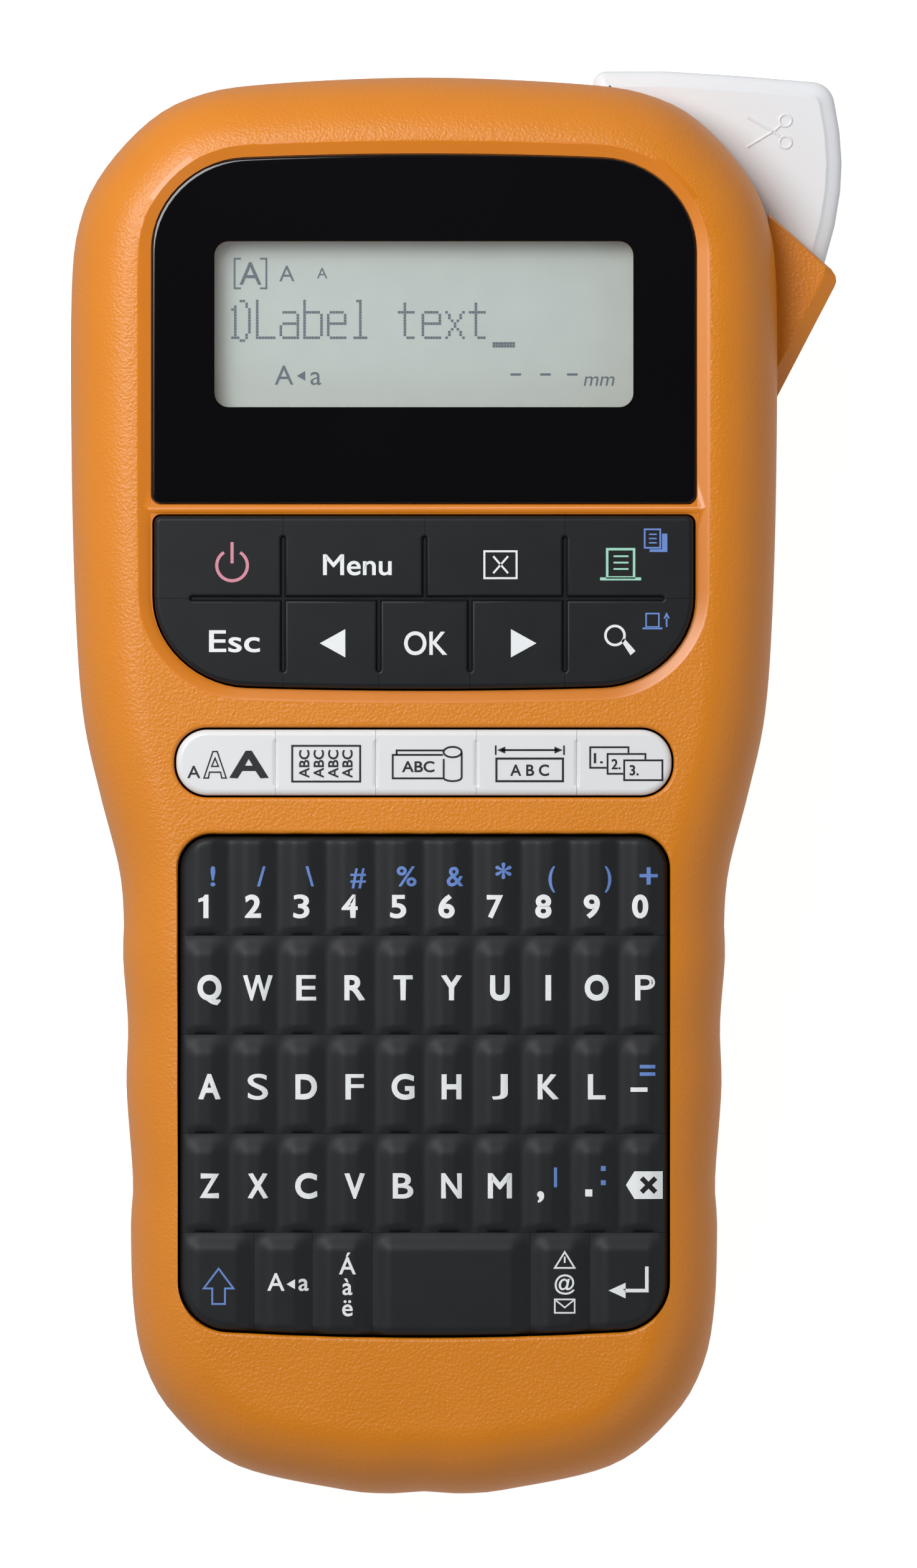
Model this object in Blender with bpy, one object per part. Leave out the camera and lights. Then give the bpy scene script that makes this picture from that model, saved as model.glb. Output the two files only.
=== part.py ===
"""Handheld label maker with a swing-down tape cutter, an LCD window and a moulded rubber keypad.

It lies on its back: +Z out of the keyboard, +Y towards the display end, +X to the right. The origin is on
the flat back, on the body's centre line. Sizes here are millimetres, and MM turns them into Blender's metres.
"""

import math

import bmesh
import bpy

MM = 0.001
GAP = 0.3

# Overall body, front to back
BODY_DEPTH = 54.5
PARTING_Z = 27.0
WALL = 2.0
FACE_INSIDE_Z = 51.5
FRONT_ROLL_INSET, FRONT_ROLL_DEPTH = 9.2, 11.0
BACK_ROLL = 6.0
BACK_WALL = 2.2
OUTLINE_POINTS = 96

# Half of the body's outline, from the top centre down the right side to the bottom centre
HALF_OUTLINE = [
    (0, 100.5), (23, 99.5), (32.5, 97.8), (39.1, 94.2), (45.5, 87.2), (48.8, 80.1), (50, 70), (50, 45),
    (49.4, 23.6), (48.3, 9.5), (46, -1.1), (43.3, -11.6), (42.6, -18.7), (42.7, -24.5), (42, -34),
    (42.2, -43), (41.3, -56), (41.6, -62.5), (41.2, -74), (39.6, -82.2), (35.5, -89.3), (26.8, -96.4),
    (11.8, -99.9), (5, -100.5), (0, -100.2),
]

# Front face: window, function keys, shortcut keys and main keypad
LENS_HALF_WIDTH, LENS_LOW, LENS_TOP, LENS_CORNER, LENS_ARCH = 38.4, 39.9, 89.2, 13.0, 1.2
LENS_SEAT_Z, LENS_BACK_Z, LENS_FRONT_Z = 52.9, 53.2, 54.4
SCREEN_HALF_WIDTH, SCREEN_LOW, SCREEN_TOP = 29.6, 53.5, 76.95
PANEL_HALF_WIDTH, PANEL_LOW, PANEL_TOP, PANEL_BACK_Z, PANEL_FRONT_Z = 33.0, 50.0, 79.5, 46.5, 49.6
FUNCTION_HALF_WIDTH, FUNCTION_LOW, FUNCTION_TOP = 38.1, 13.4, 38.1
FUNCTION_CORNER, FUNCTION_TOP_CORNER, FUNCTION_ARCH = 13.0, 1.0, 0.9
FUNCTION_ROW_Y = 26.5
FUNCTION_UPPER_X = (-19.9, 0.1, 19.9)
FUNCTION_LOWER_X = (-19.9, -6.4, 6.5, 19.9)
STRIP_HALF_WIDTH, STRIP_LOW, STRIP_TOP, STRIP_CORNER = 35.0, -1.4, 7.9, 4.4
STRIP_X = (-21.0, -6.8, 7.4, 21.6)
PAD_HALF_WIDTH, PAD_LOW, PAD_TOP = 34.45, -77.8, -7.2
PAD_TOP_CORNER, PAD_LOW_CORNER, PAD_ARCH = 4.5, 6.5, 1.2
PAD_ROW_PITCH = 14.0
BOTTOM_ROW_X = (-24.0, -15.8, -7.3, 15.0, 23.4)
KEY_FOOT_Z, KEY_TOP_Z = 46.6, 55.0
MAT_LOW_Z, MAT_TOP_Z = 44.5, 45.4
BOARD_LOW_Z, BOARD_TOP_Z, BOARD_HALF_WIDTH, BOARD_LOW, BOARD_TOP = 42.6, 44.2, 36.0, -80.0, 79.0

# Back cover, tape bay and battery bay
COVER_INSET, COVER_THICKNESS = 7.5, 2.0
BAY_LOW_Z, BAY_WALL = 2.6, 1.5
DECK_LOW_Z, DECK_TOP_Z = 20.2, 22.2
TRAY_LOW_Z, TRAY_TOP_Z = 14.2, 16.2
CASSETTE_LEFT, CASSETTE_RIGHT, CASSETTE_LOW, CASSETTE_TOP = -40.5, 9.5, 14.0, 80.0
CASSETTE_BACK_Z, CASSETTE_LID_Z, CASSETTE_FRONT_Z = 2.8, 18.2, 19.8
CASSETTE_WALL = 1.2
TAPE_ROLL_CENTRE, TAPE_ROLL_RADIUS, TAPE_CORE_RADIUS = (-19.0, 58.0), 19.0, 7.0
CELL_RADIUS, CELL_LENGTH, CELL_PITCH, CELL_COUNT = 5.25, 43.7, 11.0, 6
CELL_CENTRE_Z, CELL_LOW = 8.2, -78.0
BATTERY_BAY_HALF_WIDTH, BATTERY_BAY_LOW, BATTERY_BAY_TOP = 33.7, -80.2, -31.8

# Feed train and cutter
GEAR_MODULE = 0.8
GEAR_LOW_Z, GEAR_TOP_Z = 22.8, 25.8
PLATEN_TEETH, IDLER_TEETH, PINION_TEETH, SPINDLE_TEETH = 16, 30, 10, 24
PLATEN_CENTRE, PLATEN_RADIUS, PLATEN_LOW_Z, PLATEN_TOP_Z = (18.0, 66.0), 4.0, 4.2, 19.0
SHAFT_RADIUS, POST_RADIUS, SPINDLE_RADIUS, SPINDLE_LOW_Z = 1.5, 1.6, 3.0, 6.0
IDLER_BEARING, PINION_BEARING, SPINDLE_BEARING = -70.0, -60.0, 180.0
MOTOR_RADIUS, MOTOR_LOW_Z, MOTOR_TOP_Z, MOTOR_NECK_RADIUS, MOTOR_NECK_Z = 9.0, 3.2, 19.4, 3.0, 20.6
MOTOR_SHAFT_RADIUS, MOTOR_EDGE = 1.0, 0.8
HEAD_LEFT, HEAD_RIGHT, HEAD_LOW, HEAD_TOP, HEAD_LOW_Z = 11.9, 13.4, 59.0, 73.0, 4.0
LEVER_PIVOT, LEVER_HUB_RADIUS, LEVER_PIN_RADIUS = (26.0, 84.0), 6.0, 2.5
LEVER_LOW_Z, LEVER_TOP_Z, LEVER_CLEARANCE = 24.5, 36.5, 0.6
LEVER_RIM_DROP, LEVER_RIM_INSET = 1.0, 0.8
LEVER_PIN_TOP_Z, LEVER_BOSS_Z, LEVER_BOSS_RADIUS = 40.1, 40.4, 4.0
GUARD_LOW_Z, GUARD_TOP_Z = 20.5, 40.5
BLADE_LEFT, BLADE_RIGHT, BLADE_LOW, BLADE_TOP, BLADE_LOW_Z, BLADE_TOP_Z = 16.2, 22.0, 91.6, 92.6, 3.6, 23.6
EXIT_SLOT_X, EXIT_SLOT_Y, EXIT_SLOT_Z = (12.4, 15.4), (94.0, 104.0), (4.0, 18.5)
SCREWS = [
    (-34.0, 88.0, TRAY_LOW_Z), (42.0, 56.0, DECK_LOW_Z), (-20.0, -89.0, TRAY_LOW_Z), (20.0, -89.0, TRAY_LOW_Z),
]
SCREW_RADIUS, SCREW_HOLE_RADIUS, BOSS_RADIUS, SCREW_LENGTH = 1.3, 1.7, 3.2, 14.0
SCREW_HEAD_RADIUS, SCREW_HEAD_HEIGHT, SCREW_HEAD_EDGE = 2.8, 1.8, 0.5
JACK_Y, JACK_Z = 0.0, 12.0
JACK_HOLE_RADIUS, JACK_SOCKET_RADIUS, JACK_PIN_RADIUS = 3.4, 2.8, 1.0
JACK_LEFT, JACK_RIGHT, JACK_HALF_WIDTH, JACK_HALF_HEIGHT = 34.0, 42.4, 4.5, 4.0


# ---------------------------------------------------------------- shapes in the flat

def circle(centre, radius, sides=24, turn=0.0):
    """Points round a circle, anticlockwise."""
    return [
        (centre[0] + radius * math.cos(turn + 2 * math.pi * i / sides),
         centre[1] + radius * math.sin(turn + 2 * math.pi * i / sides))
        for i in range(sides)
    ]


def rectangle(left, right, low, top):
    return [(left, low), (right, low), (right, top), (left, top)]


def spline_through(points, steps):
    """A closed Catmull-Rom curve through the points."""
    curve = []
    count = len(points)
    for i in range(count):
        a, b, c, d = (points[(i + k) % count] for k in (-1, 0, 1, 2))
        for step in range(steps):
            t = step / steps
            curve.append(tuple(
                0.5 * (2 * b[k] + (c[k] - a[k]) * t + (2 * a[k] - 5 * b[k] + 4 * c[k] - d[k]) * t ** 2
                       + (3 * b[k] - a[k] - 3 * c[k] + d[k]) * t ** 3)
                for k in (0, 1)
            ))
    return curve


def evenly(points, count):
    """The closed curve read at equal distances along it."""
    closed = points + points[:1]
    lengths = [math.dist(a, b) for a, b in zip(closed, closed[1:])]
    total, walked, index, result = sum(lengths), 0.0, 0, []
    for k in range(count):
        target = total * k / count
        while walked + lengths[index] < target:
            walked += lengths[index]
            index += 1
        share = (target - walked) / lengths[index]
        a, b = closed[index], closed[index + 1]
        result.append((a[0] + (b[0] - a[0]) * share, a[1] + (b[1] - a[1]) * share))
    return result


def body_outline():
    """The whole outline, anticlockwise from the top centre."""
    left = [(-x, y) for x, y in HALF_OUTLINE]
    right = HALF_OUTLINE[-2:0:-1]
    return evenly(spline_through(left + right, 8), OUTLINE_POINTS)


def inset(outline, distance):
    """The outline moved inwards along its normals."""
    count = len(outline)
    moved = []
    for i, (x, y) in enumerate(outline):
        before, after = outline[i - 1], outline[(i + 1) % count]
        along = (after[0] - before[0], after[1] - before[1])
        size = math.hypot(*along)
        moved.append((x - along[1] / size * distance, y + along[0] / size * distance))
    return moved


def rounded(half_width, low, top, low_corner, top_corner, low_arch=0.0, top_arch=0.0, grow=0.0, sides=6):
    """A rounded rectangle about X 0, its lower and upper edges arched outwards in the middle."""
    corners = [
        (half_width - low_corner, low + low_corner, low_corner, -90),
        (half_width - top_corner, top - top_corner, top_corner, 0),
        (top_corner - half_width, top - top_corner, top_corner, 90),
        (low_corner - half_width, low + low_corner, low_corner, 180),
    ]
    middle = (low + top) / 2
    points = []
    for x, y, radius, start in corners:
        for step in range(sides + 1):
            angle = math.radians(start + 90 * step / sides)
            points.append((x + (radius + grow) * math.cos(angle), y + (radius + grow) * math.sin(angle)))
    points = subdivided_edges(points)
    return [
        (x, y + arch_drop(x, half_width, (y - middle) / (top - middle), low_arch, top_arch))
        for x, y in points
    ]


def subdivided_edges(points, longest=12.0):
    """The same polygon with its long straight edges split, so that they can be bent."""
    result = []
    for a, b in zip(points, points[1:] + points[:1]):
        pieces = max(1, round(math.dist(a, b) / longest))
        step = ((b[0] - a[0]) / pieces, (b[1] - a[1]) / pieces)
        result += [(a[0] + step[0] * k, a[1] + step[1] * k) for k in range(pieces)]
    return result


def arch_drop(x, half_width, height_share, low_arch, top_arch):
    share = (x / half_width) ** 2
    return -top_arch * share * height_share if height_share > 0 else -low_arch * share * height_share


def clipped(outline, left, right, low, top):
    """The part of the outline inside a rectangle."""
    for axis, limit, keep_below in ((0, left, False), (0, right, True), (1, low, False), (1, top, True)):
        result = []
        for a, b in zip(outline, outline[1:] + outline[:1]):
            inside_a = (a[axis] <= limit) == keep_below
            inside_b = (b[axis] <= limit) == keep_below
            if inside_a:
                result.append(a)
            if inside_a != inside_b:
                t = (limit - a[axis]) / (b[axis] - a[axis])
                result.append((a[0] + (b[0] - a[0]) * t, a[1] + (b[1] - a[1]) * t))
        outline = result
    return [p for p, q in zip(outline, outline[1:] + outline[:1]) if math.dist(p, q) > 0.01]


# ---------------------------------------------------------------- solids

def finish(name, colour, roughness, metallic=0.0):
    """A plain material."""
    made = bpy.data.materials.new(name)
    made.use_nodes = True
    shader = made.node_tree.nodes["Principled BSDF"]
    shader.inputs["Base Color"].default_value = (*colour, 1)
    shader.inputs["Roughness"].default_value = roughness
    shader.inputs["Metallic"].default_value = metallic
    return made


def placed(name, mesh, look, origin):
    """An object from a bmesh in millimetres, with its origin at the given point."""
    bmesh.ops.recalc_face_normals(mesh, faces=mesh.faces)
    for vertex in mesh.verts:
        vertex.co = [(vertex.co[k] - origin[k]) * MM for k in range(3)]
    data = bpy.data.meshes.new(name)
    mesh.to_mesh(data)
    mesh.free()
    data.shade_smooth()
    data.set_sharp_from_angle(angle=math.radians(30))
    piece = bpy.data.objects.new(name, data)
    piece.location = [origin[k] * MM for k in range(3)]
    bpy.context.scene.collection.objects.link(piece)
    if look:
        data.materials.append(look)
    return piece


def lofted(name, rings, look, origin=(0, 0, 0), closed=False):
    """A solid through rings of (x, y, z) points: capped at both ends, or closed into a loop of rings."""
    mesh = bmesh.new()
    rows = [[mesh.verts.new(point) for point in ring] for ring in rings]
    pairs = list(zip(rows, rows[1:])) + ([(rows[-1], rows[0])] if closed else [])
    for lower, upper in pairs:
        for i in range(len(lower)):
            j = (i + 1) % len(lower)
            mesh.faces.new((lower[i], lower[j], upper[j], upper[i]))
    if not closed:
        mesh.faces.new(rows[0][::-1])
        mesh.faces.new(rows[-1])
    return placed(name, mesh, look, origin)


def at_height(outline, z):
    return [(x, y, z) for x, y in outline]


def prism(name, outline, low_z, top_z, look=None, origin=(0, 0, 0)):
    return lofted(name, [at_height(outline, low_z), at_height(outline, top_z)], look, origin)


def tube(name, outer, inner, low_z, top_z, look, origin=(0, 0, 0)):
    """A prism with a hole: both outlines have the same number of points."""
    path = [(outer, low_z), (outer, top_z), (inner, top_z), (inner, low_z)]
    return lofted(name, [at_height(flat, z) for flat, z in path], look, origin, closed=True)


def turned(name, centre, profile, look=None, sides=20, origin=None):
    """A round solid about a vertical axis, its profile a list of (radius, z) from the bottom up."""
    rings = [at_height(circle(centre, radius, sides), z) for radius, z in profile]
    return lofted(name, rings, look, origin or (*centre, 0))


def helper(piece):
    piece.hide_render = True
    piece.display_type = "WIRE"


def combine(piece, other, operation):
    step = piece.modifiers.new(other.name, "BOOLEAN")
    step.operation = operation
    step.solver = "EXACT"
    step.object = other
    helper(other)


def cut(piece, cutter):
    combine(piece, cutter, "DIFFERENCE")


def join(piece, other):
    combine(piece, other, "UNION")


# ---------------------------------------------------------------- the body

def front_rings(outline):
    """Inner face first, then round the lower edge and up the outside to the front face."""
    steps = 6
    low = PARTING_Z + GAP / 2
    inner = [(FRONT_ROLL_INSET + 1.5, FACE_INSIDE_Z), (5.0, 48.5), (WALL + 0.4, 42.0), (WALL, low)]
    roll_start = BODY_DEPTH - FRONT_ROLL_DEPTH
    outer = [(0.0, low)]
    for step in range(steps + 1):
        angle = math.pi / 2 * step / steps
        distance = FRONT_ROLL_INSET * (1 - math.cos(angle))
        outer.append((distance, roll_start + FRONT_ROLL_DEPTH * math.sin(angle)))
    return [at_height(inset(outline, distance), z) for distance, z in inner + outer]


def rear_rings(outline):
    """Inner face first, then over the parting edge and down the outside to the flat back."""
    steps = 4
    inner = [(WALL + 1.6, BACK_WALL), (WALL + 0.4, 5.0), (WALL, 8.0), (WALL, PARTING_Z - GAP / 2)]
    outer = [(0.0, PARTING_Z - GAP / 2)]
    for step in range(steps + 1):
        angle = math.pi / 2 * step / steps
        outer.append((BACK_ROLL * (1 - math.cos(angle)), BACK_ROLL * (1 - math.sin(angle))))
    return [at_height(inset(outline, distance), z) for distance, z in inner + outer]


def lens_outline(grow=0.0):
    return rounded(LENS_HALF_WIDTH, LENS_LOW, LENS_TOP, 1.2, LENS_CORNER, 0, LENS_ARCH, grow)


def function_outline(grow=0.0):
    return rounded(
        FUNCTION_HALF_WIDTH, FUNCTION_LOW, FUNCTION_TOP, FUNCTION_CORNER, FUNCTION_TOP_CORNER,
        FUNCTION_ARCH, 0, grow,
    )


def strip_outline(grow=0.0):
    return rounded(STRIP_HALF_WIDTH, STRIP_LOW, STRIP_TOP, STRIP_CORNER, STRIP_CORNER, grow=grow)


def pad_outline(grow=0.0):
    return rounded(PAD_HALF_WIDTH, PAD_LOW, PAD_TOP, PAD_LOW_CORNER, PAD_TOP_CORNER, PAD_ARCH, 0, grow)


def lever_slot():
    """The swept space of the cutter lever, through both shells' walls."""
    outline = [(22.9, 86), (40, 86), (40, 60.5), (62, 60.5), (62, 104), (22.9, 104)]
    return prism("lever_slot", outline, LEVER_LOW_Z - LEVER_CLEARANCE, LEVER_TOP_Z + LEVER_CLEARANCE)


def build_shells(looks):
    outline = body_outline()
    front = lofted("front_shell", front_rings(outline), looks["orange"])
    boss_root, lug = FACE_INSIDE_Z + 0.6, 2.3
    for x, y, seat in SCREWS:
        profile = [(BOSS_RADIUS, seat + lug), (BOSS_RADIUS, boss_root)]
        join(front, turned(f"boss_{x:.0f}_{y:.0f}", (x, y), profile, sides=12))
    profile = [(LEVER_BOSS_RADIUS, LEVER_BOSS_Z), (LEVER_BOSS_RADIUS, boss_root)]
    join(front, turned("boss_pin", LEVER_PIVOT, profile, sides=12))
    for x, y, seat in SCREWS:
        profile = [(SCREW_HOLE_RADIUS, seat), (SCREW_HOLE_RADIUS, seat + SCREW_LENGTH + 2)]
        cut(front, turned(f"pilot_{x:.0f}_{y:.0f}", (x, y), profile, sides=12))
    cut(front, prism("lens_pocket", lens_outline(GAP), LENS_SEAT_Z, BODY_DEPTH + 5))
    screen = rounded(SCREEN_HALF_WIDTH, SCREEN_LOW, SCREEN_TOP, 2.0, 2.0, sides=3)
    cut(front, prism("screen_opening", screen, FACE_INSIDE_Z - 4, BODY_DEPTH + 6))
    cut(front, prism("function_opening", function_outline(GAP), FACE_INSIDE_Z - 4, BODY_DEPTH + 6))
    cut(front, prism("strip_opening", strip_outline(GAP), FACE_INSIDE_Z - 4, BODY_DEPTH + 6))
    cut(front, prism("pad_opening", pad_outline(GAP), FACE_INSIDE_Z - 4, BODY_DEPTH + 6))
    slot = lever_slot()
    cut(front, slot)

    rear = lofted("rear_shell", rear_rings(outline), looks["orange"])
    cut(rear, prism("cover_opening", inset(outline, COVER_INSET - GAP), -5, BACK_WALL + 3))
    cut(rear, slot)
    cut(rear, prism("tape_exit", rectangle(*EXIT_SLOT_X, *EXIT_SLOT_Y), *EXIT_SLOT_Z))
    profile = [(JACK_HOLE_RADIUS, JACK_RIGHT - 2), (JACK_HOLE_RADIUS, JACK_RIGHT + 10)]
    jack_hole = turned("jack_hole", (0, 0), profile, sides=16, origin=(0, 0, 0))
    jack_hole.rotation_euler = (0, math.pi / 2, 0)
    jack_hole.location = (0, JACK_Y * MM, JACK_Z * MM)
    cut(rear, jack_hole)
    prism("back_cover", inset(outline, COVER_INSET), 0, COVER_THICKNESS, looks["orange"])


def build_guard(looks):
    """The pocket beside the lever that keeps fingers clear of it: two cheeks joined by an outer wall."""
    outline = [(50.5, 55.2), (58.5, 71.7), (57.7, 73.5), (48.9, 81.3), (50.1, 76), (50.4, 70)]
    guard = prism("lever_guard", outline, GUARD_LOW_Z, GUARD_TOP_Z, looks["orange"])
    hollow = [(45, 55.4), (49.4, 55.4), (60.4, 78.2), (60.4, 90), (45, 90)]
    cut(guard, prism("guard_hollow", hollow, LEVER_LOW_Z - LEVER_CLEARANCE, LEVER_TOP_Z + LEVER_CLEARANCE))


def build_display(looks):
    prism("display_window", lens_outline(), LENS_BACK_Z, LENS_FRONT_Z, looks["window"])
    panel = rectangle(-PANEL_HALF_WIDTH, PANEL_HALF_WIDTH, PANEL_LOW, PANEL_TOP)
    prism("lcd_panel", panel, PANEL_BACK_Z, PANEL_FRONT_Z, looks["lcd"])
    board = rectangle(-BOARD_HALF_WIDTH, BOARD_HALF_WIDTH, BOARD_LOW, BOARD_TOP)
    prism("main_board", board, BOARD_LOW_Z, BOARD_TOP_Z, looks["board"])


# ---------------------------------------------------------------- keys

def key(name, outline, left, right, low, top, look):
    """One key: the pad's outline inside this key's cell, less half a gap on each side."""
    cell = clipped(outline, left + GAP / 2, right - GAP / 2, low + GAP / 2, top - GAP / 2)
    centre = ((left + right) / 2, (low + top) / 2, KEY_FOOT_Z)
    return prism(name, cell, KEY_FOOT_Z, KEY_TOP_Z, look, centre)


def key_row(names, outline, dividers, low, top, look):
    edges = [-50, *dividers, 50]
    for name, left, right in zip(names, edges, edges[1:]):
        key(name, outline, left, right, low, top, look)


def build_keys(looks):
    pad, function, strip = pad_outline(), function_outline(), strip_outline()
    upper = ("power_key", "menu_key", "clear_key", "print_key")
    lower = ("escape_key", "left_key", "ok_key", "right_key", "preview_key")
    key_row(upper, function, FUNCTION_UPPER_X, FUNCTION_ROW_Y, 50, looks["charcoal"])
    key_row(lower, function, FUNCTION_LOWER_X, 0, FUNCTION_ROW_Y, looks["charcoal"])
    shortcuts = ("text_key", "frame_key", "cable_key", "length_key", "number_key")
    key_row(shortcuts, strip, STRIP_X, -10, 20, looks["white"])

    rows = ("digit_keys", "upper_letter_keys", "middle_letter_keys", "lower_letter_keys")
    for i, name in enumerate(rows):
        low = PAD_TOP - PAD_ROW_PITCH * (i + 1)
        key(name, pad, -50, 50, low, low + PAD_ROW_PITCH if i else 0, looks["rubber"])
    bottom = ("shift_key", "caps_key", "accent_key", "space_key", "symbol_key", "enter_key")
    key_row(bottom, pad, BOTTOM_ROW_X, -90, PAD_TOP - PAD_ROW_PITCH * 4, looks["rubber"])
    mat = rounded(37.0, BOARD_LOW + 1, FUNCTION_TOP + 0.5, 8.0, 2.0, sides=3)
    prism("keypad_mat", mat, MAT_LOW_Z, MAT_TOP_Z, looks["rubber"])


# ---------------------------------------------------------------- bays, cassette and cells

def box(name, left, right, low, top, low_z, top_z, look=None):
    return prism(name, rectangle(left, right, low, top), low_z, top_z, look)


def build_bay_frame(looks, centres):
    """One moulding: tape bay, battery bay, the web between them and the deck that carries the gears."""
    left, right = CASSETTE_LEFT - 0.5 - BAY_WALL, CASSETTE_RIGHT + 0.5 + BAY_WALL
    low, top = CASSETTE_LOW - 0.5 - BAY_WALL, CASSETTE_TOP + 0.5 + BAY_WALL
    frame = box("bay_frame", left, right, low, top, BAY_LOW_Z, DECK_TOP_Z, looks["frame"])
    wall = BATTERY_BAY_HALF_WIDTH + BAY_WALL
    join(frame, box("gear_deck", right - 0.7, 39, low + 0.2, 74, DECK_LOW_Z, DECK_TOP_Z - 0.1))
    join(frame, box("pin_lug", 22, 30, 72, 88.5, DECK_LOW_Z + 0.1, DECK_TOP_Z))
    join(frame, box("screw_lug_right", 38, 45.5, 51, 61, DECK_LOW_Z + 0.1, DECK_TOP_Z))
    join(frame, box("web", -20, 20, -33, low + 1, TRAY_LOW_Z + 0.1, TRAY_TOP_Z))
    join(frame, box("battery_bay", -wall, wall, BATTERY_BAY_LOW - BAY_WALL, BATTERY_BAY_TOP + BAY_WALL,
                    BAY_LOW_Z + 0.05, TRAY_TOP_Z - 0.1))
    join(frame, box("screw_lug_top", -38, -30, top - 1, 91, TRAY_LOW_Z, TRAY_TOP_Z))
    for side in (-1, 1):
        centre = 20 * side
        lug = (centre - 4, centre + 4, -93, -81, TRAY_LOW_Z, TRAY_TOP_Z - 0.2)
        join(frame, box(f"screw_lug_low_{side + 1}", *lug))
    profile = [(POST_RADIUS, DECK_TOP_Z - 1), (POST_RADIUS, GEAR_TOP_Z + 0.6)]
    join(frame, turned("idler_post", centres["idler"], profile, sides=12))
    bay = (CASSETTE_LEFT - 0.5, CASSETTE_RIGHT + 0.5, CASSETTE_LOW - 0.5, CASSETTE_TOP + 0.5)
    cut(frame, box("tape_bay", *bay, 0, DECK_LOW_Z))
    bay = (-BATTERY_BAY_HALF_WIDTH, BATTERY_BAY_HALF_WIDTH, BATTERY_BAY_LOW, BATTERY_BAY_TOP)
    cut(frame, box("cell_bay", *bay, 0, TRAY_LOW_Z))
    holes = [
        (centres["pinion"], MOTOR_NECK_RADIUS + 0.4), (PLATEN_CENTRE, SHAFT_RADIUS + 0.4),
        (centres["spindle"], SPINDLE_RADIUS + 0.6),
    ]
    holes += [((x, y), SCREW_HOLE_RADIUS) for x, y, _ in SCREWS]
    for centre, radius in holes:
        name = f"hole_{centre[0]:.0f}_{centre[1]:.0f}"
        cut(frame, turned(name, centre, [(radius, TRAY_LOW_Z - 2), (radius, DECK_TOP_Z + 2)], sides=16))


def build_cassette(looks, spindle):
    """A case with a roll of tape in it, closed by a lid on the side away from the cover."""
    corner, hub_hole = 3.0, SPINDLE_RADIUS + 1.0
    left, right, low, top = CASSETTE_LEFT, CASSETTE_RIGHT, CASSETTE_LOW, CASSETTE_TOP
    centre_x = (left + right) / 2

    def outline(grow):
        flat = rounded((right - left) / 2, low, top, corner, corner, grow=grow, sides=3)
        return [(x + centre_x, y) for x, y in flat]

    outer, inner = outline(0), outline(-CASSETTE_WALL)
    rings = [(inner, CASSETTE_BACK_Z + CASSETTE_WALL), (inner, CASSETTE_LID_Z - GAP),
             (outer, CASSETTE_LID_Z - GAP), (outer, CASSETTE_BACK_Z)]
    case = lofted("cassette_case", [at_height(flat, z) for flat, z in rings], looks["cassette"])
    lid = prism("cassette_lid", outer, CASSETTE_LID_Z, CASSETTE_FRONT_Z, looks["cassette"])
    for piece, name in ((case, "hub_hole_back"), (lid, "hub_hole_front")):
        profile = [(hub_hole, CASSETTE_BACK_Z - 1.8), (hub_hole, CASSETTE_FRONT_Z + 1.2)]
        cut(piece, turned(name, spindle, profile, sides=16))
    wound, core = (circle(TAPE_ROLL_CENTRE, radius, 32) for radius in (TAPE_ROLL_RADIUS, TAPE_CORE_RADIUS))
    low_z, top_z = CASSETTE_BACK_Z + CASSETTE_WALL + 0.4, CASSETTE_LID_Z - 0.9
    tube("tape_roll", wound, core, low_z, top_z, looks["tape"], (*TAPE_ROLL_CENTRE, 0))


def build_cells(looks):
    """Six AAA cells side by side, every other one turned round, between two contact strips."""
    shoulder, tip_radius, tip = 0.4, 1.9, 0.8
    middle = CELL_LOW + CELL_LENGTH / 2
    for i in range(CELL_COUNT):
        profile = [
            (CELL_RADIUS - shoulder, 0), (CELL_RADIUS, shoulder), (CELL_RADIUS, CELL_LENGTH - shoulder - tip),
            (CELL_RADIUS - shoulder, CELL_LENGTH - tip), (tip_radius, CELL_LENGTH - tip), (tip_radius, CELL_LENGTH),
        ]
        centred = [(radius, z - CELL_LENGTH / 2) for radius, z in profile]
        cell = turned(f"battery_{i + 1}", (0, 0), centred, looks["cell"], 16)
        cell.rotation_euler = (math.pi / 2 * (1 if i % 2 else -1), 0, 0)
        cell.location = ((i - (CELL_COUNT - 1) / 2) * CELL_PITCH * MM, middle * MM, CELL_CENTRE_Z * MM)
    thickness, clearance, strip_low_z, strip_top_z = 0.6, 0.4, 4, 13
    half = BATTERY_BAY_HALF_WIDTH - 0.5
    for name, near in (("low", BATTERY_BAY_LOW + clearance), ("top", BATTERY_BAY_TOP - clearance - thickness)):
        strip = (-half, half, near, near + thickness, strip_low_z, strip_top_z)
        box(f"battery_contacts_{name}", *strip, looks["spring_steel"])


# ---------------------------------------------------------------- feed train

def gear_outline(centre, teeth, phase):
    """Straight-sided teeth, thinned so that a meshed pair turns freely."""
    pitch_radius = GEAR_MODULE * teeth / 2
    root, tip = pitch_radius - GEAR_MODULE, pitch_radius + 0.75 * GEAR_MODULE
    corners = ((-0.30, root), (-0.12, tip), (0.12, tip), (0.30, root))
    return [
        (centre[0] + radius * math.cos(phase + 2 * math.pi * (tooth + share) / teeth),
         centre[1] + radius * math.sin(phase + 2 * math.pi * (tooth + share) / teeth))
        for tooth in range(teeth) for share, radius in corners
    ]


def mesh_phase(bearing, first_teeth, first_phase, second_teeth):
    """The turn that puts a gap of the second gear over the first gear's tooth on their line of centres."""
    first_pitch, second_pitch = 2 * math.pi / first_teeth, 2 * math.pi / second_teeth
    share = ((bearing - first_phase) / first_pitch) % 1
    return bearing + math.pi + share * second_pitch + second_pitch / 2


def stepped(centre, bearing, first_teeth, second_teeth):
    distance = GEAR_MODULE * (first_teeth + second_teeth) / 2
    return (centre[0] + distance * math.cos(bearing), centre[1] + distance * math.sin(bearing))


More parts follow.
